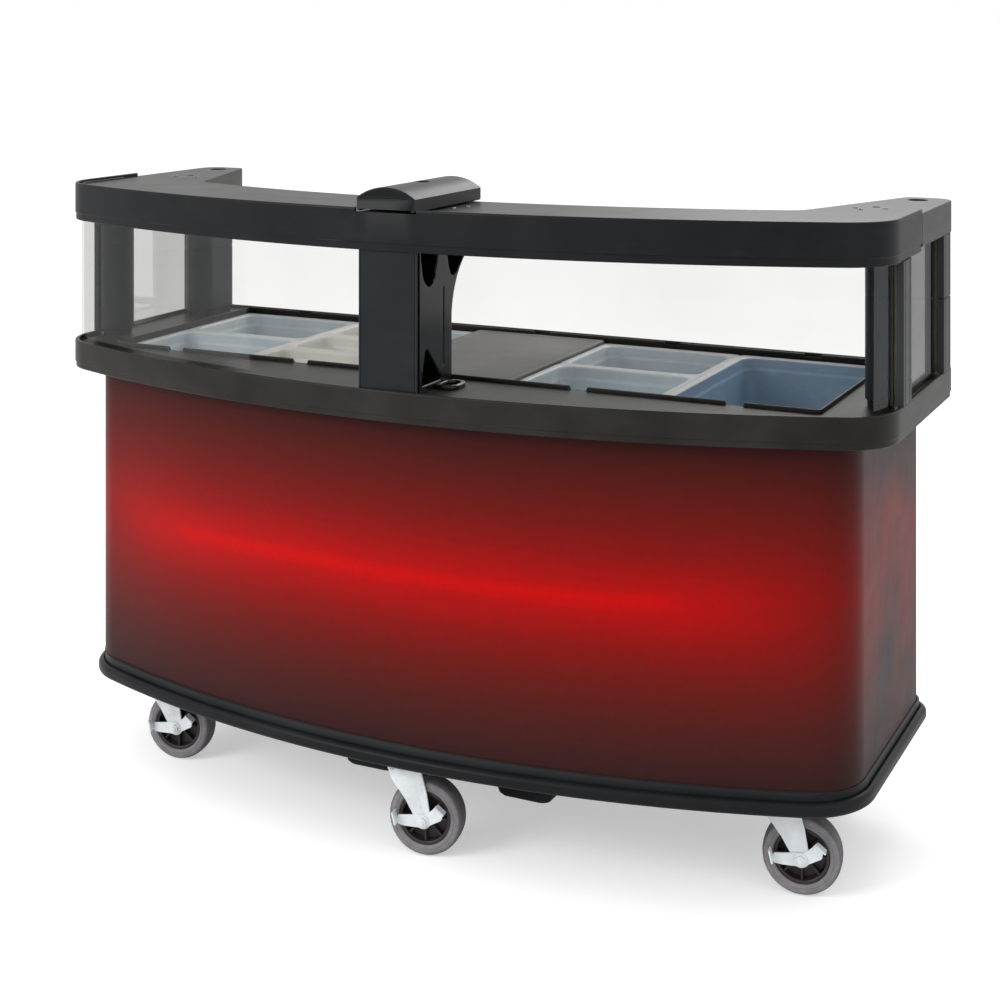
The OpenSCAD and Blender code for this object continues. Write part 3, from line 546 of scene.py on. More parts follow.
def glow_film(name):
    """Printed skin: a red glow along the middle that darkens to charcoal in contour bands."""
    g = Graph(name)
    uv = g.add("ShaderNodeUVMap", uv_map="UVMap").outputs[0]
    flat_uv = g.add("ShaderNodeSeparateXYZ", {"Vector": uv})
    u, z = flat_uv.outputs[0], flat_uv.outputs[1]
    away = g.math("ABSOLUTE", u)
    end = g.span(away, 0.9, 1.12, smooth=True)
    # height on the skin, 0 to 1, bent by slow drift and, on the end faces, by swirls
    h = g.span(z, floor_z * MM, (band_z - 2) * MM)
    swirl = g.noise(2.6, 3.0, 0.5, uv, 0.8)
    drift = g.noise(1.1, 2.0, 0.5, g.stretch((1.0, 1.6, 1.0), uv))
    h = g.plus(h, g.mul(g.minus(drift, 0.5), 0.07))
    h = g.plus(h, g.mul(g.mul(g.minus(swirl, 0.5), end), 0.9))
    # t runs from 0 on the glow's middle line to 1 at the dark edges
    peak = 0.535
    above = g.math("GREATER_THAN", h, peak)
    reach = g.plus(peak, g.mul(above, 1.0 - 2.0 * peak))
    d = g.math("DIVIDE", g.math("ABSOLUTE", g.minus(h, peak)), reach)
    fade = g.mul(g.math("POWER", g.span(away, 0.42, 0.93), 2.0), 0.44)
    t = g.math("SQRT", g.plus(g.mul(d, d), g.mul(fade, fade)))
    streak = g.noise(1.0, 5.0, 0.62, g.stretch((2.4, 42.0, 1.0), uv), 0.5)
    t = g.plus(t, g.mul(g.minus(streak, 0.5), 0.075))
    # contour bands with frayed edges
    steps = 15.0
    fray = g.noise(1.0, 4.0, 0.7, g.stretch((26.0, 60.0, 1.0), uv))
    snap = g.math("DIVIDE", g.math("FLOOR", g.plus(g.mul(t, steps), g.mul(fray, 0.5))), steps)
    t = g.plus(g.mul(t, 0.72), g.mul(snap, 0.28), clamp=True)
    heart = [(0.0, rgb(232, 4, 4)), (0.07, rgb(205, 12, 12))]
    upper = g.ramp(t, heart + [(0.25, rgb(166, 20, 16)), (0.45, rgb(134, 26, 20)), (0.65, rgb(108, 30, 24)),
                               (0.85, rgb(84, 30, 26)), (1.0, rgb(66, 30, 28))])
    lower = g.ramp(t, heart + [(0.25, rgb(162, 24, 19)), (0.45, rgb(126, 34, 27)), (0.65, rgb(98, 40, 35)),
                               (0.85, rgb(76, 42, 39)), (1.0, rgb(60, 40, 40))])
    col = g.mix(above, lower, upper)
    cloud = g.span(g.noise(3.4, 4.0, 0.6, g.stretch((1.0, 1.5, 1.0), uv), 1.2), 0.44, 0.62)
    smoke = g.mul(cloud, g.mul(end, g.span(t, 0.3, 0.75)))
    col = g.mix(g.mul(smoke, 0.8), col, rgb(52, 47, 54))
    mottle = g.noise(70.0, 4.0, 0.6)
    col = g.mix(g.mul(g.span(mottle, 0.3, 0.8), 0.12), col, rgb(28, 16, 16))
    col = g.mix(1.0, col, (0.66, 0.5, 0.5, 1.0), "MULTIPLY")
    rough = g.plus(0.36, g.mul(g.noise(18.0, 5.0, 0.6), 0.12))
    n = g.bump(g.noise(5.0, 2.0), 0.1, 0.004)
    n = g.bump(g.noise(420.0, 2.0), 0.03, 0.0005, n)
    return g.done(g.surface({"Base Color": col, "Roughness": rough, "Normal": n,
                             "Specular IOR Level": 0.14, "Specular Tint": (0.6, 0.6, 0.6, 1.0)}))


BLACK = moulding("black_moulding", rgb(26, 27, 29), 0.38, 0.05, 0.14, spec=0.3, sheen=0.34, rim=0.05)
# the deck's lighter, brown-tinted colour is in part painted reflection, making up for its turned-down sheen
DECK = moulding("deck_moulding", rgb(34, 33, 32), 0.36, 0.07, 0.10, spec=0.35, tint=rgb(48, 45, 43),
                sheen=0.36, rim=0.04)
GLOSS = moulding("bracket_moulding", rgb(26, 25, 24), 0.22, 0.03, 0.25, spec=0.6, sheen=0.9, rim=0.06)
BAR = moulding("bar_moulding", rgb(24, 25, 26), 0.36, 0.03, 0.1, spec=0.3, sheen=0.16, rim=0.06)
PLATE = moulding("plate_moulding", rgb(24, 27, 32), 0.34, 0.02, 0.08, spec=0.35, sheen=0.5, rim=0.04)
SHELL = moulding("body_moulding", rgb(58, 55, 55), 0.45, 0.08, 0.14)
LINER = moulding("liner_moulding", rgb(40, 40, 42), 0.42, 0.08, 0.10)
LID = moulding("lid_moulding", rgb(98, 97, 95), 0.55, 0.22, 0.06, edge=1.25)
FOAM = moulding("insulation_foam", rgb(226, 216, 184), 0.8, 0.5, 0.3, edge=1.05)
DARK = moulding("wheel_core", rgb(40, 33, 34), 0.42, 0.08, 0.05)
SCREW = metal("black_screw", rgb(78, 78, 82), 0.38)
# near white and barely metallic: the zinc's lightness is partly painted light, standing in for the plating's
# bright reflections and lifting the forks out of the shade under the base
ZINC = metal("zinc_plate", rgb(240, 246, 250), 0.3, whole=0.06)
STEEL = metal("brushed_steel", rgb(196, 198, 200), 0.3, 1.0)
BRASS = metal("valve_brass", rgb(196, 158, 92), 0.36, dull=0.2)
RED = moulding("lever_dip", rgb(168, 26, 20), 0.34, 0.05, 0.05, edge=1.2)
TYRE = rubber("tyre_tread", rgb(104, 102, 104), 0.6, 0.18)
TYRE_SIDE = rubber("tyre_side", rgb(128, 125, 128), 0.5, 0.1)
FILM = glow_film("glow_film")
SHEET = clear_sheet("clear_sheet", (0.9, 0.9, 0.895, 1.0), 0.5, 0.08)
END_SHEET = clear_sheet("end_sheet", (0.915, 0.915, 0.91, 1.0), 0.0, 0.34)
SHEET_EDGE = translucent("sheet_edge", rgb(206, 204, 178), 0.25, (0.85, 0.86, 0.74, 1.0))
PAN_CLEAR = translucent("pan_clear", rgb(240, 248, 252), 0.1, (0.88, 0.94, 0.98, 1.0))
PAN_DEEP = translucent("pan_deep", rgb(200, 222, 240), 0.3, (0.82, 0.91, 0.98, 1.0))
PAN_RIM = translucent("pan_rim", rgb(253, 254, 255), 0.03, (0.9, 0.94, 0.97, 1.0), 0.2)
PAN_CREAM = translucent("pan_cream", rgb(255, 254, 249), 0.0, (0.9, 0.88, 0.8, 1.0))


# ---------------------------------------------------------------- base and body
BASE_R, BODY_R = 2410.0, 2405.0
BASE_CORNER, BODY_CORNER = 148.0, 110.0


def build_base():
    bm = bmesh.new()
    outer = bow_closed(base_hi.x, base_lo.y, base_hi.y, BASE_R, BASE_CORNER, 60.0)
    inner = bow_closed(wrap_hi.x, wrap_lo.y, counter_rear, BODY_R, BODY_CORNER, REAR_R)
    # the rim, from underneath to the foot of the body
    rim = fillet([(-60, base_z), (0, base_z, 9), (0, floor_z - 1, 11), (-11.5, floor_z - 1, 1.5),
                  (-12.5, floor_z - 5, 1.5), (-14, floor_z - 5, 1), (-15, floor_z + 14, 5)], 6, False)
    # the lip that hides the skin's edge, and the storage floor that reaches in under the body
    lip = [(1.2, floor_z + 15.6), (0.2, floor_z + 14.6), (0.2, floor_z), (-30, floor_z)]
    rows = [[(x + nx * o, y + ny * o, z) for x, y, nx, ny in path]
            for path, profile in ((outer, rim), (inner, lip)) for o, z in profile]
    loft(bm, rows)
    # two boat-shaped bosses underneath
    boss = []
    for f in (k / 8 for k in range(9)):
        boss.append((176 - 58 * f ** 1.4, 112 - 6 * f, 12 + 6 * f, base_z + 1 - 112 * f))
    boss += [(108, 96, 18, base_z - 117), (92, 80, 16, base_z - 120.5), (70, 60, 14, base_z - 122)]
    for x in (-181, 181):
        loft(bm, [flat(round_rect(w, l, r), z, x, front_y + 303) for w, l, r, z in boss])
    piece("base_moulding", bm, "frame", BLACK, "base_deck", "black_moulding")


def build_wrap():
    bm = bmesh.new()
    path = bow_open(wrap_hi.x, wrap_lo.y, BODY_R, BODY_CORNER, wrap_hi.y)
    z0, z1 = wrap_lo.z, wrap_hi.z
    profile = fillet([(-3, z0), (0, z0, 0.6), (0, z1, 0.8), (-3, z1)], 3)
    # tall quads split up the wall, so that the skin shades evenly
    walls = [(0, z0 + (z1 - z0) * k / 12) for k in range(1, 12)]
    i = next(k for k, p in enumerate(profile) if p[1] > (z0 + z1) / 2)
    sweep(bm, path, profile[:i] + walls + profile[i:], end_r=0.8)
    lengths = [0.0]
    for a, b in zip(path, path[1:]):
        lengths.append(lengths[-1] + math.hypot(b[0] - a[0], b[1] - a[1]))
    middle = lengths[-1] / 2

    def uv(co):
        """Metres along the skin from its middle, and height."""
        k = min(range(len(path)), key=lambda i: (path[i][0] - co.x) ** 2 + (path[i][1] - co.y) ** 2)
        along = (co.x - path[k][0]) * -path[k][3] + (co.y - path[k][1]) * path[k][2]
        return ((lengths[k] + along - middle) * MM, co.z * MM)

    piece("printed_skin", bm, "frame", FILM, "front_wrap", "decorated_skin", uv=uv)


# ---------------------------------------------------------------- counter
def column_x(i):
    return (i - 2) * pan_w


def row_edge(n, i):
    """Edge i of the well cut into n equal rows."""
    return well_mid - pan_l / 2 + pan_l * i / n


def well_loop(inset, z, notch_z=None, r=12.0):
    """Round-cornered loop inset from the rim's outer edge, at notch_z along each finger notch."""
    w = 5 * pan_w / 2 + 7 - inset
    l = pan_l / 2 + 7 - inset
    rr = max(r - inset, 3.0)
    # two points at each end of a notch: one outside it and one inside it
    side = [(column_x(i) + dx, inside) for i in range(5)
            for dx, inside in ((-20, False), (-17, True), (17, True), (20, False))]

    def corner(cx, cy, a0):
        return [(x, y, z) for x, y in xy(arc(cx, cy, rr, a0, a0 + PI / 2, 6))]

    def run(y, marks):
        return [(x, y, notch_z if inside and notch_z is not None else z) for x, inside in marks]

    points = corner(rr - w, rr - l, PI) + run(-l, side) + corner(w - rr, rr - l, -PI / 2)
    points += corner(w - rr, l - rr, 0) + run(l, reversed(side)) + corner(rr - w, l - rr, PI / 2)
    return [(x, y + well_mid, z) for x, y, z in points]


def build_counter():
    bm = bmesh.new()
    path = bow_closed(half, front_y, counter_rear, BOW_R, CORNER_R, REAR_R, 96)
    step = band_z + 12
    rim = fillet([(-9, deck_low), (-9, band_z, 1.5), (-2, band_z, 3), (-2, step, 0.8), (0, step + 1.5, 0.8),
                  (0, lip_z, 3.2), (-9, lip_z, 2.2), (-9.6, deck_z, 1.2)], 5, False)
    # the groove that the guards stand in, which stops at the rear trims
    groove_low = deck_z - 4.6
    rim += [(-GUARD_IN + 0.5, deck_z), (-GUARD_IN + 0.4, groove_low),
            (-GUARD_IN - GUARD_T - 0.4, groove_low), (-GUARD_IN - GUARD_T - 0.5, deck_z), (-26, deck_z)]
    groove_end = TRIM_REAR_Y - TRIM_L / 2 + TRIM_SLOT - 0.5
    made = loft(bm, [[(x + nx * o, y + ny * o, deck_z if z == groove_low and y > groove_end else z)
                      for x, y, nx, ny in path] for o, z in rim], caps=False)
    # rim round the well, then ledge and tub
    wr = 6.0
    well = [(0, deck_z, None), (0.1, lip_z - 2.4, 0.2), (0.9, lip_z - 0.7, 0.1), (2.4, lip_z, 0),
            (4.0, lip_z, 0), (5.4, lip_z - 0.8, -0.1), (wr, lip_z - 2.4, -0.2)]
    loops = [well_loop(i, z, None if notch is None else deck_z + notch) for i, z, notch in well]
    loops.append(well_loop(wr, ledge_z))
    tub = [(17, ledge_z, 47), (19, ledge_z - 2, 49), (19.5, tub_floor + 30, 49.5), (23, tub_floor + 12, 53),
           (31, tub_floor + 3, 57), (44, tub_floor, 64)]
    rim_rows = loft(bm, loops + [well_loop(i, z, None, r) for i, z, r in tub], caps=False)
    bm.faces.new(rim_rows[-1])
    fill(bm, made[-1], rim_rows[0])
    # outside of the tub and underside of the deck
    under = [(13, deck_low, 47), (13, tub_floor + 8, 47), (17, tub_floor - 3, 47), (25, tub_floor - 4, 43)]
    under_rows = loft(bm, [well_loop(i, z, None, r) for i, z, r in under], caps=False)
    bm.faces.new(under_rows[-1])
    fill(bm, made[0], under_rows[0])
    piece("counter_moulding", bm, "frame", DECK, "counter_top", "black_moulding", sharp=32)


def pan_shape(x, y, w, l, h):
    """Food pan: crowned rim, a stacking shoulder, drafted walls and a rounded floor."""
    top = ledge_z + 3
    floor_in = top - h + 3
    # (inset, z, corner radius), from the middle of the floor inside, over the rim, to the floor outside
    inside = [(74, floor_in + 0.4, 22), (46, floor_in, 24), (33, floor_in, 26), (27, floor_in + 1.6, 27),
              (23.6, floor_in + 6, 28), (22.4, floor_in + 13, 28), (18.6, top - 30, 27), (18.2, top - 27, 27),
              (15.6, top - 24.5, 27), (15.2, top - 21, 27), (14.6, top - 7, 27), (13.8, top - 3.2, 26),
              (12.2, top - 1.4, 24), (9.6, top - 0.9, 18)]
    rim = [(7.0, top - 0.5, 12), (3.4, top, 10), (1.6, top, 10), (0.5, top - 0.4, 10), (0, top - 1.3, 10),
           (0, top - 2.5, 10), (0.6, top - 3, 10), (10.5, top - 3, 20), (12, top - 3.6, 27)]
    outside = [(12.2, top - 21, 30), (12.4, top - 24, 30), (15.2, top - 27.5, 30), (15.8, top - 31, 30),
               (19.6, floor_in + 12, 30), (21, floor_in + 4, 29), (25, floor_in - 1.4, 28),
               (33, floor_in - 3, 26), (60, floor_in - 2.4, 22)]
    bm = bmesh.new()
    loops = []
    for inset, z, r in inside + rim + outside:
        ww, ll = w - 1 - 2 * inset, l - 1 - 2 * inset
        rr = max(1.0, min(r, ww / 2 - 1, ll / 2 - 1))
        loops.append(flat(round_rect(max(ww, 4), max(ll, 4), rr), z, x, y))
    loft(bm, loops)
    for f in bm.faces:
        f.material_index = int(min(v.co.z for v in f.verts) > ledge_z - 0.8)
    return bm


def build_pans():
    deep, shallow = 150, 100
    rows = [("pan_full_right", column_x(4), well_mid, pan_w, pan_l, deep, PAN_DEEP)]
    for side, column in (("left", 0), ("right", 3)):
        for place, i in (("front", 1), ("rear", 3)):
            rows.append((f"pan_half_{side}_{place}", column_x(column), row_edge(4, i),
                         pan_w, pan_l / 2, deep, PAN_CLEAR))
    for place, i in (("front", 1), ("middle", 3)):
        rows.append((f"pan_third_{place}", column_x(1), row_edge(6, i), pan_w, pan_l / 3, shallow, PAN_CREAM))
    for side, s, mat in (("left", -1, PAN_CREAM), ("right", 1, PAN_CLEAR)):
        rows.append((f"pan_sixth_{side}", column_x(1) + s * pan_w / 4, row_edge(6, 5),
                     pan_w / 2, pan_l / 3, shallow, mat))
    for name, x, y, w, l, h, mat in rows:
        rim, slot = (PAN_CREAM, "cream_pan") if mat is PAN_CREAM else (PAN_RIM, "clear_pan")
        piece(name + "_shell", pan_shape(x, y, w, l, h), name + "_body", [mat, rim], name, slot, sharp=60)


def build_cover():
    bm = bmesh.new()
    top = ledge_z + 10
    w, l = pan_w - 1, pan_l - 1
    levels = [(70, top - 2.2, 14), (24, top - 2.2, 14), (18, top - 2.0, 12), (14, top - 0.5, 10),
              (11, top, 9), (3.5, top, 8), (1.2, top - 0.9, 8), (0, top - 3, 8), (0, ledge_z + 1.2, 8),
              (1, ledge_z, 8), (13, ledge_z, 14), (13.2, ledge_z - 9, 20), (14.5, ledge_z - 10, 20),
              (16, ledge_z - 10, 18), (17, ledge_z - 9, 17), (17.2, ledge_z, 16), (60, ledge_z, 14)]
    loft(bm, [flat(round_rect(w - 2 * i, l - 2 * i, r), z, 0, well_mid) for i, z, r in levels])
    piece("cover_lid", bm, "cover_body", LID, "well_cover", "grey_cover", sharp=50)


# ---------------------------------------------------------------- top shelf
def shelf_outline():
    """The bowed shelf with its two slanting arms, anticlockwise."""
    fascia_in = FASCIA_T + 0.2
    arm_y = FASCIA_END + 0.2
    path = bow_open(half, front_y, BOW_R, CORNER_R, arm_y, 96)
    outer = [(x - nx * fascia_in, y - ny * fascia_in) for x, y, nx, ny in path]
    rear_y = shelf_rear - REAR_R
    right = xy([(half, arm_y)] + line((half, FASCIA_END + 8), (half, rear_y), (1, 0), 8)
               + arc(half - REAR_R, rear_y, REAR_R, 0, PI / 2, 12)[1:])
    # inner edge: the tip's corner, the slanting side, the arm's root and the inner bow
    band, arm_a, arm_r, arm_x, tip_r = 280.0, math.radians(19.5), 60.0, 675.0, 16.0
    r_in = BOW_R - band
    cy = front_y + BOW_R
    fy = cy - math.sqrt((r_in - arm_r) ** 2 - arm_x ** 2)
    tx, ty = arm_x + arm_r * math.cos(arm_a), fy - arm_r * math.sin(arm_a)
    ex = tx + (shelf_rear - ty) * math.tan(arm_a)
    join = math.atan2(fy - cy, arm_x)
    inner = fillet([(ex + 30, shelf_rear), (ex, shelf_rear, tip_r), (tx, ty)], 6, False)[1:-1]
    inner += xy(line(inner[-1], (tx, ty), (0, 0), 8)[1:])
    inner += xy(arc(arm_x, fy, arm_r, -arm_a, join, 12)[1:])
    bow = xy(arc(0, cy, r_in, join, -PI - join, 72)[1:])
    return outer + right + inner + bow + mirrored(inner)[1:] + mirrored(right)


def build_shelf():
    outline = shelf_outline()
    skirt, r = 5.0, 2.4

    def foot(p):
        """Lower edge of the skirt, which is higher inside the posts."""
        return shelf_lo.z + (4 if abs(p[0]) < half - 60 and p[1] > front_y + 60 else 0)

    levels = [(9, 0), (7.5, 0), (skirt, -3)]
    loops = [flat(offset(outline, i), shelf_low + dz) for i, dz in levels]
    for inset, dz in ((skirt, 0.8), (skirt - 0.8, 0), (0.8, 0), (0, 0.8)):
        loops.append([(p[0], p[1], foot(outline[i]) + dz) for i, p in enumerate(offset(outline, inset))])
    loops += [flat(offset(outline, i), shelf_top - back) for i, back in rounding(r, 4)]
    bm = bmesh.new()
    loft(bm, loops)
    cut = bmesh.new()
    # (x, y, lower end, radius, chamfer, sides) of the recess in the arm's tip and of the port
    holes = ((half - 66, front_y + 708, shelf_top - 5, 21.4, 0.8, 64),
             (half - 110, front_y + 530, shelf_low - 6, 8.6, 0.7, 48))
    for s in (-1, 1):
        for x, y, z, hole_r, bevel, n in holes:
            lathe(cut, [(hole_r, z), (hole_r, shelf_top - bevel), (hole_r + bevel, shelf_top),
                        (hole_r + bevel, shelf_top + 10)], n, at=at_xy(s * x, y))
    bm = carve(bm, cut)
    # low bead inside the fascia, round each front corner
    bead = fillet([(-19, shelf_top - 0.5), (-15, shelf_top - 0.5), (-15, shelf_top + 4, 1.6),
                   (-19, shelf_top + 4, 1.6)], 3)
    corner = bow_open(half, front_y, BOW_R, CORNER_R, FASCIA_END - 70, 96)
    for s in (-1, 1):
        sweep(bm, [p for p in corner if s * p[0] > 640], bead, end_r=1.5)
    piece("shelf_moulding", bm, "frame", DECK, "top_shelf", "black_moulding", sharp=32)


def build_fascia():
    bm = bmesh.new()
    z0, z1 = fascia_lo.z, fascia_hi.z
    path = bow_open(half, front_y, BOW_R, CORNER_R, FASCIA_END, 96)
    step = z0 + 15
    shape = fillet([(-FASCIA_T, z0, 1.2), (-1.8, z0, 2.4), (-1.8, step, 0.8), (0, step + 1.6, 0.8),
                    (0, z1 - 4, 3), (-1.2, z1, 2.2), (-FASCIA_T, z1, 1.6)], 5)
    sweep(bm, path, shape, end_r=2.2)
    # slot in the top edge under the front of the bar
    cut = bmesh.new()
    tower(cut, round_rect(2 * bar_hi.x + 8, 40, 3), [(0, shelf_top), (0, z1 + 10)], 0, front_y + 10)
    piece("fascia_moulding", carve(bm, cut), "frame", BLACK, "fascia_band", "black_moulding", sharp=32)


def build_bar():
    """Half-round bar with flat sides, a stepped front end and a counterbored bolt."""
    w = bar_hi.x - bar_lo.x
    side, arch, foot_r, end_r = 26.0, 22.0, 2.5, 4.0
    z = shelf_top + 2
    r = ((w / 2) ** 2 + arch ** 2) / (2 * arch)
    a = math.asin(w / 2 / r)
    crown = xy(arc(0, z + side + arch - r, r, PI / 2 - a, PI / 2 + a, 40))
    foot = [(-w / 2, z + foot_r), (foot_r - w / 2, z)]
    shape = mirrored(foot) + crown + foot
    y0, y1 = front_y + 1, bar_hi.y
    steps = rounding(end_r, 5)[::-1]
    loops = [[(x, y0 + back, zz) for x, zz in offset(shape, i)] for i, back in steps]
    loops += [[(x, y0 + end_r + (y1 - y0 - 2 * end_r) * k / 12, zz) for x, zz in shape] for k in range(1, 12)]
    loops += [[(x, y1 - back, zz) for x, zz in offset(shape, i)] for i, back in reversed(steps)]
    bm = bmesh.new()
    loft(bm, loops)
    # counterbore, and a hollow over the fascia
    cut = bmesh.new()
    lathe(cut, [(15.6, z + 20), (15.6, z + 44), (18, z + 48.6), (18, z + 70)], 48, at=at_xy(0, BOLT_Y))
    tower(cut, round_rect(w - 16, 44, 3), [(0, z - 4), (0, z + 4)], 0, front_y + 17)
    bm = carve(bm, cut)
    # feet on the shelf
    for y in (front_y + 70, bar_hi.y - 20):
        tower(bm, round_rect(80, 20, 4), [(0, shelf_top), (0, z + 0.5)], 0, y)
    # line across the front end where the arch meets the flat-sided foot
    groove = bmesh.new()
    tower(groove, round_rect(w + 10, 1.6, 0.5), [(0, z + side), (0, z + side + 1.4)], 0, y0)
    piece("clamp_bar_moulding", carve(bm, groove), "frame", BAR, "clamp_bar", "black_moulding", sharp=32)


def screw(bm, x, y, z, head, socket, shank, n):
    """Button-head screw standing on z, with head and shank as (radius, length)."""
    sides = 36
    r, h = head
    rings = [(r, 0), (r, h * 0.35), (r * 0.93, h * 0.7), (r * 0.72, h)]
    loops = [flat(circle(ring_r, sides), z + dz, x, y) for ring_r, dz in rings]
    turns = [2 * PI * i / sides for i in range(sides)]
    hollow = [(hexagon(socket, a) * math.cos(a), hexagon(socket, a) * math.sin(a)) for a in turns]
    loops += [flat(hollow, z + dz, x, y) for dz in (h, h * 0.35)]
    loft(bm, loops)
    lathe(bm, [(shank[0], z - shank[1]), (shank[0], z + 0.5)], n, at=at_xy(x, y))


def build_screws():
    bm = bmesh.new()
    screw(bm, 0, BOLT_Y, shelf_top + 22, (9, 7), 4.6, (5, 46), 24)
    for x, y in ((84, front_y + 132), (96, front_y + 172)):
        screw(bm, x, y, shelf_top, (5, 2.5), 2.2, (2.4, 16), 16)
    piece("bar_screws", bm, "frame", SCREW, "clamp_screws", "screw_black")
    bm = bmesh.new()
    for s in (-1, 1):
        for x, y in ((half - 146, front_y + 500), (half - 128, front_y + 470), (half - 84, front_y + 500)):
            screw(bm, s * x, y, shelf_top, (5.5, 2.5), 2.4, (2.4, 16), 16)
    piece("arm_screws", bm, "frame", SCREW, "shelf_screws", "screw_black")


# ---------------------------------------------------------------- posts, bracket and guards
def build_centre():
    bm = bmesh.new()
    y0, y1 = post_lo.y, post_hi.y
    w = post_hi.x
    g0, g1 = y0 + 4, y0 + 6.6 + GUARD_T
    # plan with a slot for a guard's edge in each side
    side = [(w, y0, 2.2), (w, g0, 0.5), (w - 10, g0, 0), (w - 10, g1, 0), (w, g1, 0.5), (w, y1, 1.5)]
    shape = fillet([(-w, y0, 2.2)] + side + [(-x, y, r) for x, y, r in side[:0:-1]], 4)
    tower(bm, shape, [(0, post_lo.z), (0, post_lo.z + 3), (0, post_hi.z)])
    # raised panel line round the face
    cut = bmesh.new()
    for x in (5 - w, w - 5):
        tower(cut, round_rect(1.2, 2.0, 0.4), [(0, post_lo.z + 6), (0, post_hi.z - 12)], x, y0)
    piece("centre_post_plate", carve(bm, cut), "frame", PLATE, "centre_post", "black_moulding", sharp=32)


def build_bracket():
    lo, hi = mm("centre_bracket")
    y0, z0, top = lo.y, lo.z, hi.z
    w, deep = 60.0, 40.0
    # side view: an upright whose back sweeps out to the shelf
    back = front_y + 172
    flare, flare_h = 101.0, 150.0
    flare_z = top - 74
    r = (flare ** 2 + flare_h ** 2) / (2 * flare)
    side = [(y0, z0), (back, z0)]
    side += xy(arc(back + r, flare_z - flare_h, r, PI, PI - math.asin(flare_h / r), 16))
    side += [(back + flare, top), (y0, top)]
    bm = bmesh.new()
    loft(bm, [[(x, y, z) for y, z in side] for x in (-w, w)])
    # hollows in both faces, as (y from the front, z from the top)
    foot = z0 - top
    hollows = [[(39, 4), (40, -84), (50, -124), (62, -138), (74, -143), (86, -138), (98, -124), (110, -84),
                (113, 4)],
               [(150, 4), (152, -84), (160, -114), (169, -130), (178, -134), (190, -128), (206, -114),
                (222, -100), (238, -84), (258, -66), (260, 4)],
               [(42, foot + 14), (128, foot + 14), (66, foot + 84), (58, foot + 80)]]
    rib = round_rect(6, top - z0 - 190, 2.9)
    cuts = [(w - deep, [(front_y + y, top + z) for y, z in hollow]) for hollow in hollows]
    cuts.append((w - 2.5, [(y + front_y + 134, z + (z0 + top) / 2 - 55) for y, z in rib]))
    cut = bmesh.new()
    for s in (-1, 1):
        for start, shape in cuts:
            loft(cut, [[(s * x, y, z) for y, z in shape] for x in (start, w + 3)])
    bm = melt(carve(bm, cut), 2.2, 5)
    for v in bm.verts:
        v.co.z = min(max(v.co.z, z0), top)
        v.co.y = max(v.co.y, y0)
    # flat ring eyelets on the deck beside the foot
    eyelet = ((16.6, 0), (24.4, 0), (25, 0.8), (25, 6.4), (23.8, 8), (17.4, 8), (16, 6.6), (16, 0.8))
    turns = [(k + 0.5) * 2 * PI / 48 for k in range(48)]
    for x in (-w - 20, w + 20):
        loops = []
        for r, z in eyelet:
            oval = [(r * math.cos(a), r * math.sin(a) + math.copysign(10, math.sin(a))) for a in turns]
            loops.append(flat(oval, z0 + z, x, front_y + 128))
        loft(bm, loops, caps=False, wrap=True)
    piece("centre_bracket_moulding", bm, "frame", GLOSS, "centre_bracket", "black_moulding",
          sharp=60, normals=False)


def front_post_outline(s):
    """Round post with a flat on its outer side, anticlockwise."""
    a = math.acos((POST_FLAT_X - POST_FRONT_X) / POST_FRONT_R)
    points = xy(arc(0, 0, POST_FRONT_R, a, 2 * PI - a, 72))
    return points if s > 0 else mirrored(points)


def post_levels(groove_z, half_w, depth, inner_w):
    """A recessed foot, then a plain shaft with one groove round it."""
    z0, z1 = post_lo.z, post_hi.z
    return [(4, z0), (4, z0 + 13), (1.6, z0 + 13.5), (0.4, z0 + 14.5), (0, z0 + 16.2), (0, groove_z - half_w),
            (depth, groove_z - inner_w), (depth, groove_z + inner_w), (0, groove_z + half_w), (0, z1)]


def build_posts():
    for side, s in (("left", -1), ("right", 1)):
        bm = bmesh.new()
        tower(bm, front_post_outline(s), post_levels(lip_z + 204, 1.5, 0.7, 0.9),
              s * POST_FRONT_X, front_y + 331)
        piece(f"corner_post_{side}", bm, "frame", PLATE, f"post_front_{side}", "black_moulding")
        bm = bmesh.new()
        tower(bm, round_rect(76, 143, 36, 14), post_levels(lip_z + 158, 1.9, 1.2, 1.0),
              s * (POST_FLAT_X - 38), front_y + 671.5)
        piece(f"server_post_{side}", bm, "frame", PLATE, f"post_rear_{side}", "black_moulding")


def build_guards():
    z0, z1 = guard_lo.z, guard_hi.z
    inner_x = 57.0
    lift = 0.7
    fx, fy, a = bow_corner(half, front_y, BOW_R, CORNER_R)
    end_y = TRIM_Y - TRIM_L / 2 + TRIM_SLOT - 1.5

    def section(a0, a1):
        """The sheet's section, and the material of each of its sides: 0 on the faces, 1 on the edges."""
        shape = fillet([(a0, z0, lift), (a1, z0, lift), (a1, z1, lift), (a0, z1, lift)], 2)
        return shape, [int(abs(p[1] - q[1]) <= 50) for p, q in zip(shape, shape[1:] + shape[:1])]

    for side, s in (("left", -1), ("right", 1)):
        path = arc(0, front_y + BOW_R, BOW_R, -math.acos(inner_x / BOW_R), a, 44)
        path += arc(fx, fy, CORNER_R, a, 0, 20)[1:] + line((half, fy), (half, end_y), (1, 0), 6)[1:]
        if s < 0:
            path = [(-x, y, -nx, ny) for x, y, nx, ny in reversed(path)]
        shape, mats = section(-GUARD_IN - GUARD_T, -GUARD_IN)
        bm = bmesh.new()
        sweep(bm, path, shape, mats=mats)
        piece(f"front_guard_{side}", bm, "frame", [SHEET, SHEET_EDGE], f"guard_front_{side}", "clear_acrylic")
        lo, hi = mm(f"guard_end_{side}")
        x, t = (lo.x + hi.x) / 2, (hi.x - lo.x) / 2
        shape, mats = section(-t, t)
        bm = bmesh.new()
        sweep(bm, line((x, lo.y), (x, hi.y), (1, 0), 6), shape, mats=mats)
        piece(f"end_guard_{side}", bm, "frame", [END_SHEET, SHEET_EDGE], f"guard_end_{side}", "clear_acrylic")


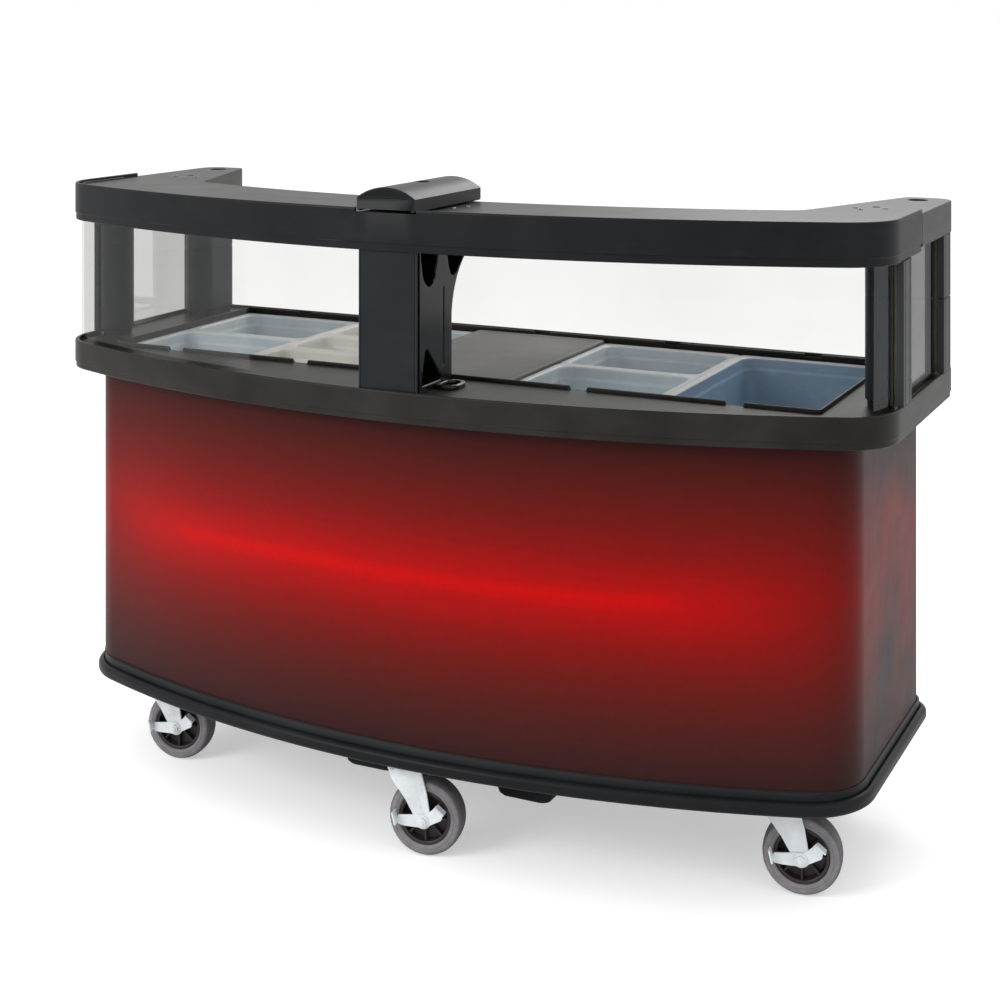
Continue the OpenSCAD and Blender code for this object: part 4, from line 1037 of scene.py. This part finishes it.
def trim_outline(s, slots):
    """Strip with slots for the guards' edges and fine flutes down its outer face."""
    w, l = TRIM_W / 2, TRIM_L / 2
    slot_x = w - GUARD_IN - GUARD_T / 2
    s0, s1 = slot_x - 3.3, slot_x + 3.3
    points = [(-w, -l, 1.0), (s0, -l, 0.4), (s0, TRIM_SLOT - l), (s1, TRIM_SLOT - l), (s1, -l, 0.4),
              (w, -l, 1.5)]
    for y in (12 - l, 17 - l, l - 18, l - 13):
        points += [(w, y - 1.2), (w - 1.1, y - 0.5), (w - 1.1, y + 0.5), (w, y + 1.2)]
    points += [(w, l, 1.5)]
    if slots > 1:
        points += [(s1, l, 0.4), (s1, l - TRIM_SLOT), (s0, l - TRIM_SLOT), (s0, l, 0.4)]
    points = fillet(points + [(-w, l, 1.0)], 4)
    return points if s > 0 else mirrored(points)


def build_trims():
    lo, hi = mm("guard_trims")
    bm = bmesh.new()
    split = lip_z + 152
    for s in (-1, 1):
        x = s * (half - TRIM_W / 2)
        tower(bm, trim_outline(s, 2), [(0, lo.z), (0, fascia_lo.z - 0.2)], x, TRIM_Y)
        for z0, z1 in ((lo.z, split), (split + 2, hi.z)):
            tower(bm, trim_outline(s, 1), [(0, z0), (0, z1)], x, TRIM_REAR_Y)
    piece("guard_trim_strips", bm, "frame", BLACK, "guard_trims", "black_moulding")


# ---------------------------------------------------------------- casters
WHEEL_D, WHEEL_W, LEAD = 152.4, 50.0, 40.0
AXLE_Z = WHEEL_D / 2
PLATE_Z = base_z - 6
CROWN_TOP = base_z - 12
CROWN_LOW = CROWN_TOP - 18
LEG_T = 5.0
LEG_IN = WHEEL_W / 2 + 4
LEG_OUT = LEG_IN + LEG_T
TRAIL = math.radians(10)
CASTERS = [("front_left", -724, front_y + 270, True), ("front_centre", 0, front_y + 100, True),
           ("front_right", 724, front_y + 270, True), ("rear_left", -640, front_y + 656, False),
           ("rear_right", 640, front_y + 656, False)]


def both_ways(profile):
    """Half of a lathe profile (radius, height), from the axle's middle out, and its mirror image."""
    return profile + [(r, -z) for r, z in reversed(profile)]


def hex_head(bm, at, r, h):
    """Chamfered hexagon head on local +Z from 0 to h."""
    turns = [2 * PI * i / 36 for i in range(36)]

    def ring(scale, z, soft):
        sizes = [scale * min(hexagon(r, a), r * soft) for a in turns]
        return [(size * math.cos(a), size * math.sin(a), z) for size, a in zip(sizes, turns)]

    loft(bm, [ring(1, 0, 0.95), ring(1, 0.8, 1.0), ring(1, h - 1.6, 1.0), ring(1, h - 0.6, 0.92),
              ring(0.86, h, 0.9), ring(0.5, h, 1.0)], at=at)


def wheel_axis(z=0.0, sign=1):
    """Local +Z turned to -Y (or +Y), at the axle."""
    turn = Matrix.Rotation(PI / 2 * sign, 4, "X")
    return Matrix.Translation((LEAD, 0, AXLE_Z)) @ turn @ Matrix.Translation((0, 0, z))


def sheet_part(bm, outline, t, r, at):
    """Sheet-metal blank of thickness t on local +Z."""
    tower(bm, outline, edges(0, t, r, r, 3), at=at)


def leg_outline():
    boss_r = 17
    points = [(-35, CROWN_TOP - 2, 3), (35, CROWN_TOP - 2, 3), (47, CROWN_TOP - 44, 30),
              (LEAD + 16.6, AXLE_Z + 4)]
    out = fillet(points, 5, False) + xy(arc(LEAD, AXLE_Z, boss_r, 0.2, -PI - 0.2, 18))
    return (out + [(2, CROWN_TOP - 62), (-26, CROWN_TOP - 26)])[::-1]


def build_fork(braked):
    bm = bmesh.new()
    nut_y = LEG_OUT + (4.2 if braked else 0.2)
    # crown: a pressed dome with a raised ball race
    lathe(bm, [(9, CROWN_LOW + 2), (24, CROWN_LOW + 0.6), (34, CROWN_LOW + 3), (39.4, CROWN_LOW + 8),
               (40, CROWN_LOW + 11), (39, CROWN_TOP - 3), (36.5, CROWN_TOP - 0.8), (31, CROWN_TOP),
               (9, CROWN_TOP)])
    tower(bm, round_rect(72, 2 * LEG_OUT, 7), edges(CROWN_TOP - 8, CROWN_TOP - 0.4, 1, 3.4))
    # legs, each with a pressed bead; local x is +X, y is +Z and z is -Y
    bead = fillet([(-16, CROWN_TOP - 20, 5), (22, CROWN_TOP - 20, 6), (40, AXLE_Z + 24, 5),
                   (30, AXLE_Z + 20, 5)], 4)[::-1]
    for s in (-1, 1):
        leg_at = Matrix.Translation((0, LEG_OUT if s > 0 else -LEG_IN, 0)) @ ALONG_Y
        sheet_part(bm, leg_outline(), LEG_T, 1.1, leg_at)
        face_at = Matrix.Translation((0, s * LEG_OUT, 0)) @ Matrix.Scale(-s, 4, (0, 1, 0)) @ ALONG_Y
        tower(bm, bead, [(0, -1), (0.4, 0.0), (2.0, 0.7), (4, 0.9)], at=face_at)
    # axle bolt, washers, head and nut
    lathe(bm, [(6, -nut_y), (6, nut_y)], 32, at=wheel_axis())
    for sign in (1, -1):
        lathe(bm, [(13, 0), (13.4, 0.6), (13, 1.6), (8, 1.8)], 40, at=wheel_axis(nut_y, sign))
        hex_head(bm, wheel_axis(nut_y + 1.4, sign), 10, 6.2)
    lathe(bm, [(5.6, 0), (5.6, 3), (4.6, 3.8)], 24, at=wheel_axis(nut_y + 6))
    return bm


def build_core():
    """Hub, web, rim and eight ribs."""
    bm = bmesh.new()
    hub_l, rim_r = WHEEL_W + 4, 54.0
    at = wheel_axis()
    lathe(bm, both_ways([(18.4, 6), (17, hub_l / 2 - 3), (16.2, hub_l / 2 - 0.8), (14.6, hub_l / 2),
                         (6.1, hub_l / 2)]), 64, True, at)
    w = (WHEEL_W - 8) / 2
    lathe(bm, both_ways([(rim_r, w - 1.2), (rim_r - 1.5, w), (rim_r - 5.8, w), (rim_r - 7, w - 1),
                         (rim_r - 8.5, 5)]), 96, True, at)
    lathe(bm, both_ways([(rim_r - 7, 4), (16, 5)]), 64, True, at)
    rib_w = (WHEEL_W - 16) / 2
    for k in range(8):
        rib_at = at @ Matrix.Rotation(k * PI / 4, 4, "Z") @ Matrix.Translation((31.5, 0, 0))
        tower(bm, round_rect(34, 4.6, 1.6), edges(-rib_w, rib_w, 1.2, 1.2, 3), at=rib_at)
    return bm


def build_tyre():
    """Rounded tread on side walls with a stepped ring."""
    bm = bmesh.new()
    w, r, tread = WHEEL_W / 2, AXLE_Z, 71.0
    wall = [(54, 0), (54, w - 3.4), (55.4, w - 1.6), (57.4, w - 0.4), (59.4, w), (61, w), (61.6, w - 0.8),
            (62.6, w - 0.8), (63.2, w), (66.5, w), (69.4, w - 1.0), (71.8, w - 2.8), (73.8, w - 5.6),
            (75.2, w - 9.4), (r - 0.3, w - 14), (r, w - 20)]
    lathe(bm, both_ways(wall)[:-1], 128, True, wheel_axis())
    to_wheel = wheel_axis().inverted()
    for f in bm.faces:
        c = to_wheel @ f.calc_center_median()
        f.material_index = 0 if math.hypot(c.x, c.y) > tread else 1
    return bm


def build_pedal():
    """Rocker pedal of the side lock: two arms from the axle, each ending in a bent tab."""
    bm = bmesh.new()
    at = Matrix.Translation((LEAD, -LEG_OUT - 0.6, AXLE_Z)) @ ALONG_Y
    blank = fillet([(-8, 13, 4), (-38, 9, 5), (-52, 8, 4), (-52, -11, 5), (-36, -13, 6), (-8, -13, 8),
                    (2, -15, 6), (15, -7, 8), (40, 6, 6), (44, 26, 5), (31, 36, 4), (20, 24, 8),
                    (6, 14, 8)], 5)
    sheet_part(bm, blank if area(blank) > 0 else blank[::-1], 3.0, 0.8, at)
    # boss round the axle
    lathe(bm, [(13, 2.6), (12.4, 3.6), (9.6, 3.6), (9.2, 2.6)], 40, True, at)
    # (corner, lean in degrees, width, length, height) of the two tabs
    for x, y, lean, w, l, h in ((-54, -8, 14, 4, 26, 20), (30, 34, -38, 22, 4, 18)):
        tab_at = at @ at_xy(x, y) @ Matrix.Rotation(math.radians(lean), 4, "Z")
        tower(bm, round_rect(w, l, 1.6), edges(0, h, 0.5, 1.5, 3), w / 2, l / 2, tab_at)
    return bm


def build_casters():
    plates = bmesh.new()
    bolts = bmesh.new()
    # kingpin with its foot, and the race that hangs from the plate
    pin = [(13, CROWN_LOW - 7), (13.6, CROWN_LOW - 5), (13, CROWN_LOW - 1.2), (8, CROWN_LOW - 1),
           (8, CROWN_TOP + 1), (30, CROWN_TOP + 1), (33.4, CROWN_TOP + 2), (34, base_z - 7.5),
           (31, base_z - 5.5)]
    for name, x, y, braked in CASTERS:
        at = at_xy(x, y)
        swung = at @ Matrix.Rotation(TRAIL, 4, "Z")
        tower(plates, round_rect(100, 80, 8), edges(PLATE_Z, base_z, 1.4, 0.6), at=at)
        lathe(plates, pin, at=at)
        for sx, sy in ((-36, -26), (-36, 26), (36, -26), (36, 26)):
            spot = at @ Matrix.Translation((sx, sy, PLATE_Z)) @ Matrix.Rotation(PI, 4, "X")
            hex_head(bolts, spot, 7, 5)
            lathe(bolts, [(8.6, -0.2), (8.8, 0.4), (8.4, 1.0), (6, 1.1)], 32, at=spot)
        parts = [("fork", build_fork(braked), f"fork_{name}_body", ZINC, "zinc_steel"),
                 ("core", build_core(), f"wheel_{name}", DARK, "dark_core"),
                 ("tyre", build_tyre(), f"wheel_{name}", [TYRE, TYRE_SIDE], "grey_tyre")]
        if braked:
            parts.append(("brake", build_pedal(), f"pedal_{name}", ZINC, "zinc_steel"))
        for kind, bm, body, mat, slot in parts:
            bmesh.ops.transform(bm, matrix=swung, verts=bm.verts)
            piece(f"{kind}_part_{name}", bm, body, mat, f"{kind}_{name}", slot, sharp=36)
    piece("caster_top_plates", plates, "frame", ZINC, "caster_plates", "zinc_steel", sharp=36)
    piece("caster_bolt_heads", bolts, "frame", ZINC, "caster_bolts", "zinc_steel", sharp=36)


# ---------------------------------------------------------------- CAD nodes that stay
def dress(node, mat, edge):
    """Material and soft edges for a CAD node that is shown as it is."""
    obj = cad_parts[node]
    obj.data.materials.clear()
    obj.data.materials.append(mat)
    facets = obj.modifiers.new("flat", "DECIMATE")
    facets.decimate_type = "DISSOLVE"
    facets.angle_limit = math.radians(1)
    if edge:
        bevel = obj.modifiers.new("edge", "BEVEL")
        bevel.width = edge * MM
        bevel.segments = 2
        bevel.angle_limit = math.radians(35)
        bevel.harden_normals = True
    obj.modifiers.new("normals", "WEIGHTED_NORMAL").keep_sharp = True


for build in (build_base, build_wrap, build_counter, build_pans, build_cover, build_shelf, build_fascia,
              build_bar, build_screws, build_centre, build_bracket, build_posts, build_guards, build_trims,
              build_casters):
    build()
for node, mat, edge in (("body_shell", SHELL, 1.5), ("bay_divider", SHELL, 1.5),
                        ("storage_shelves", SHELL, 1.5), ("well_insulation", FOAM, 1.5),
                        ("well_shell", LINER, 0), ("pan_bars", STEEL, 0.8), ("drain_fitting", STEEL, 0.5),
                        ("drain_strainer", STEEL, 0.3), ("drain_valve", BRASS, 0.6),
                        ("drain_lever", RED, 0.8)):
    dress(node, mat, edge)


# ---------------------------------------------------------------- studio
CAMERA_AT = (1.7378, -3.4581, 1.6728)


def build_floor():
    size, cells = 900.0, 60
    bm = bmesh.new()
    bmesh.ops.create_grid(bm, x_segments=cells, y_segments=cells, size=size / 2)
    mesh = bpy.data.meshes.new("studio_floor")
    bm.to_mesh(mesh)
    bm.free()
    g = Graph("studio_floor")
    col = g.mix(g.span(g.noise(0.6, 2.0), 0.3, 0.7), (0.80, 0.80, 0.80, 1), (0.84, 0.84, 0.84, 1))
    pale = g.surface({"Base Color": col, "Roughness": 0.9, "Specular IOR Level": 0.0})
    seen = g.add("ShaderNodeLightPath").outputs["Is Camera Ray"]
    glow = g.add("ShaderNodeEmission", {"Color": (1, 1, 1, 1), "Strength": g.mul(seen, 0.42)}).outputs[0]
    both = g.add("ShaderNodeAddShader")
    g.put(both.inputs[0], pale)
    g.put(both.inputs[1], glow)
    mesh.materials.append(g.done(both.outputs[0]))
    new_object("studio_floor", mesh)


def build_backdrop():
    """A white backdrop that lights the cart less than it shows."""
    world = bpy.data.worlds.new("studio")
    bpy.context.scene.world = world
    world.use_nodes = True
    nodes, links = world.node_tree.nodes, world.node_tree.links
    back = nodes["Background"]
    back.inputs["Color"].default_value = (1.0, 1.0, 1.0, 1.0)
    seen = nodes.new("ShaderNodeLightPath")
    level = nodes.new("ShaderNodeMapRange")
    level.inputs["To Min"].default_value = 0.85
    level.inputs["To Max"].default_value = 1.0
    links.new(seen.outputs["Is Camera Ray"], level.inputs["Value"])
    links.new(level.outputs[0], back.inputs["Strength"])


def area_light(name, place, target, size_x, size_y, power):
    light = bpy.data.lights.new(name, "AREA")
    light.shape = "RECTANGLE"
    light.size, light.size_y, light.energy = size_x, size_y, power
    obj = new_object(name, light)
    obj.location = place
    obj.rotation_euler = (Vector(target) - Vector(place)).to_track_quat("-Z", "Y").to_euler()


def build_camera():
    cam = bpy.data.cameras.new("camera")
    cam.lens = 64.38
    cam.sensor_width = 36
    obj = new_object("camera", cam)
    obj.location = CAMERA_AT
    obj.rotation_euler = (PI / 2, 0, math.radians(25.868))
    bpy.context.scene.camera = obj
    # the level camera keeps upright edges parallel; its lens shift holds only where the camera stands now
    drive = cam.driver_add("shift_y").driver
    height = drive.variables.new()
    height.name = "z"
    height.type = "TRANSFORMS"
    height.targets[0].id = obj
    height.targets[0].transform_type = "LOC_Z"
    height.targets[0].transform_space = "WORLD_SPACE"
    drive.type = "SCRIPTED"
    z = CAMERA_AT[2]
    drive.expression = f"-0.48084 if {z - 0.0003:.4f} < z and z < {z + 0.0003:.4f} else 0.0"


build_floor()
build_backdrop()
area_light("key", (-2.4, -4.2, 3.0), (0, 0, 0.6), 2.6, 1.8, 120)
area_light("fill", (3.8, -2.0, 2.6), (0, 0, 0.7), 2.2, 2.2, 14)
area_light("rim", (0.5, 3.4, 3.4), (0, 0, 0.9), 3.0, 1.2, 60)
build_camera()
scene = bpy.context.scene
scene.view_settings.view_transform = "Standard"
scene.view_settings.look = "None"
scene.cycles.transparent_max_bounces = 32
scene.cycles.max_bounces = 10
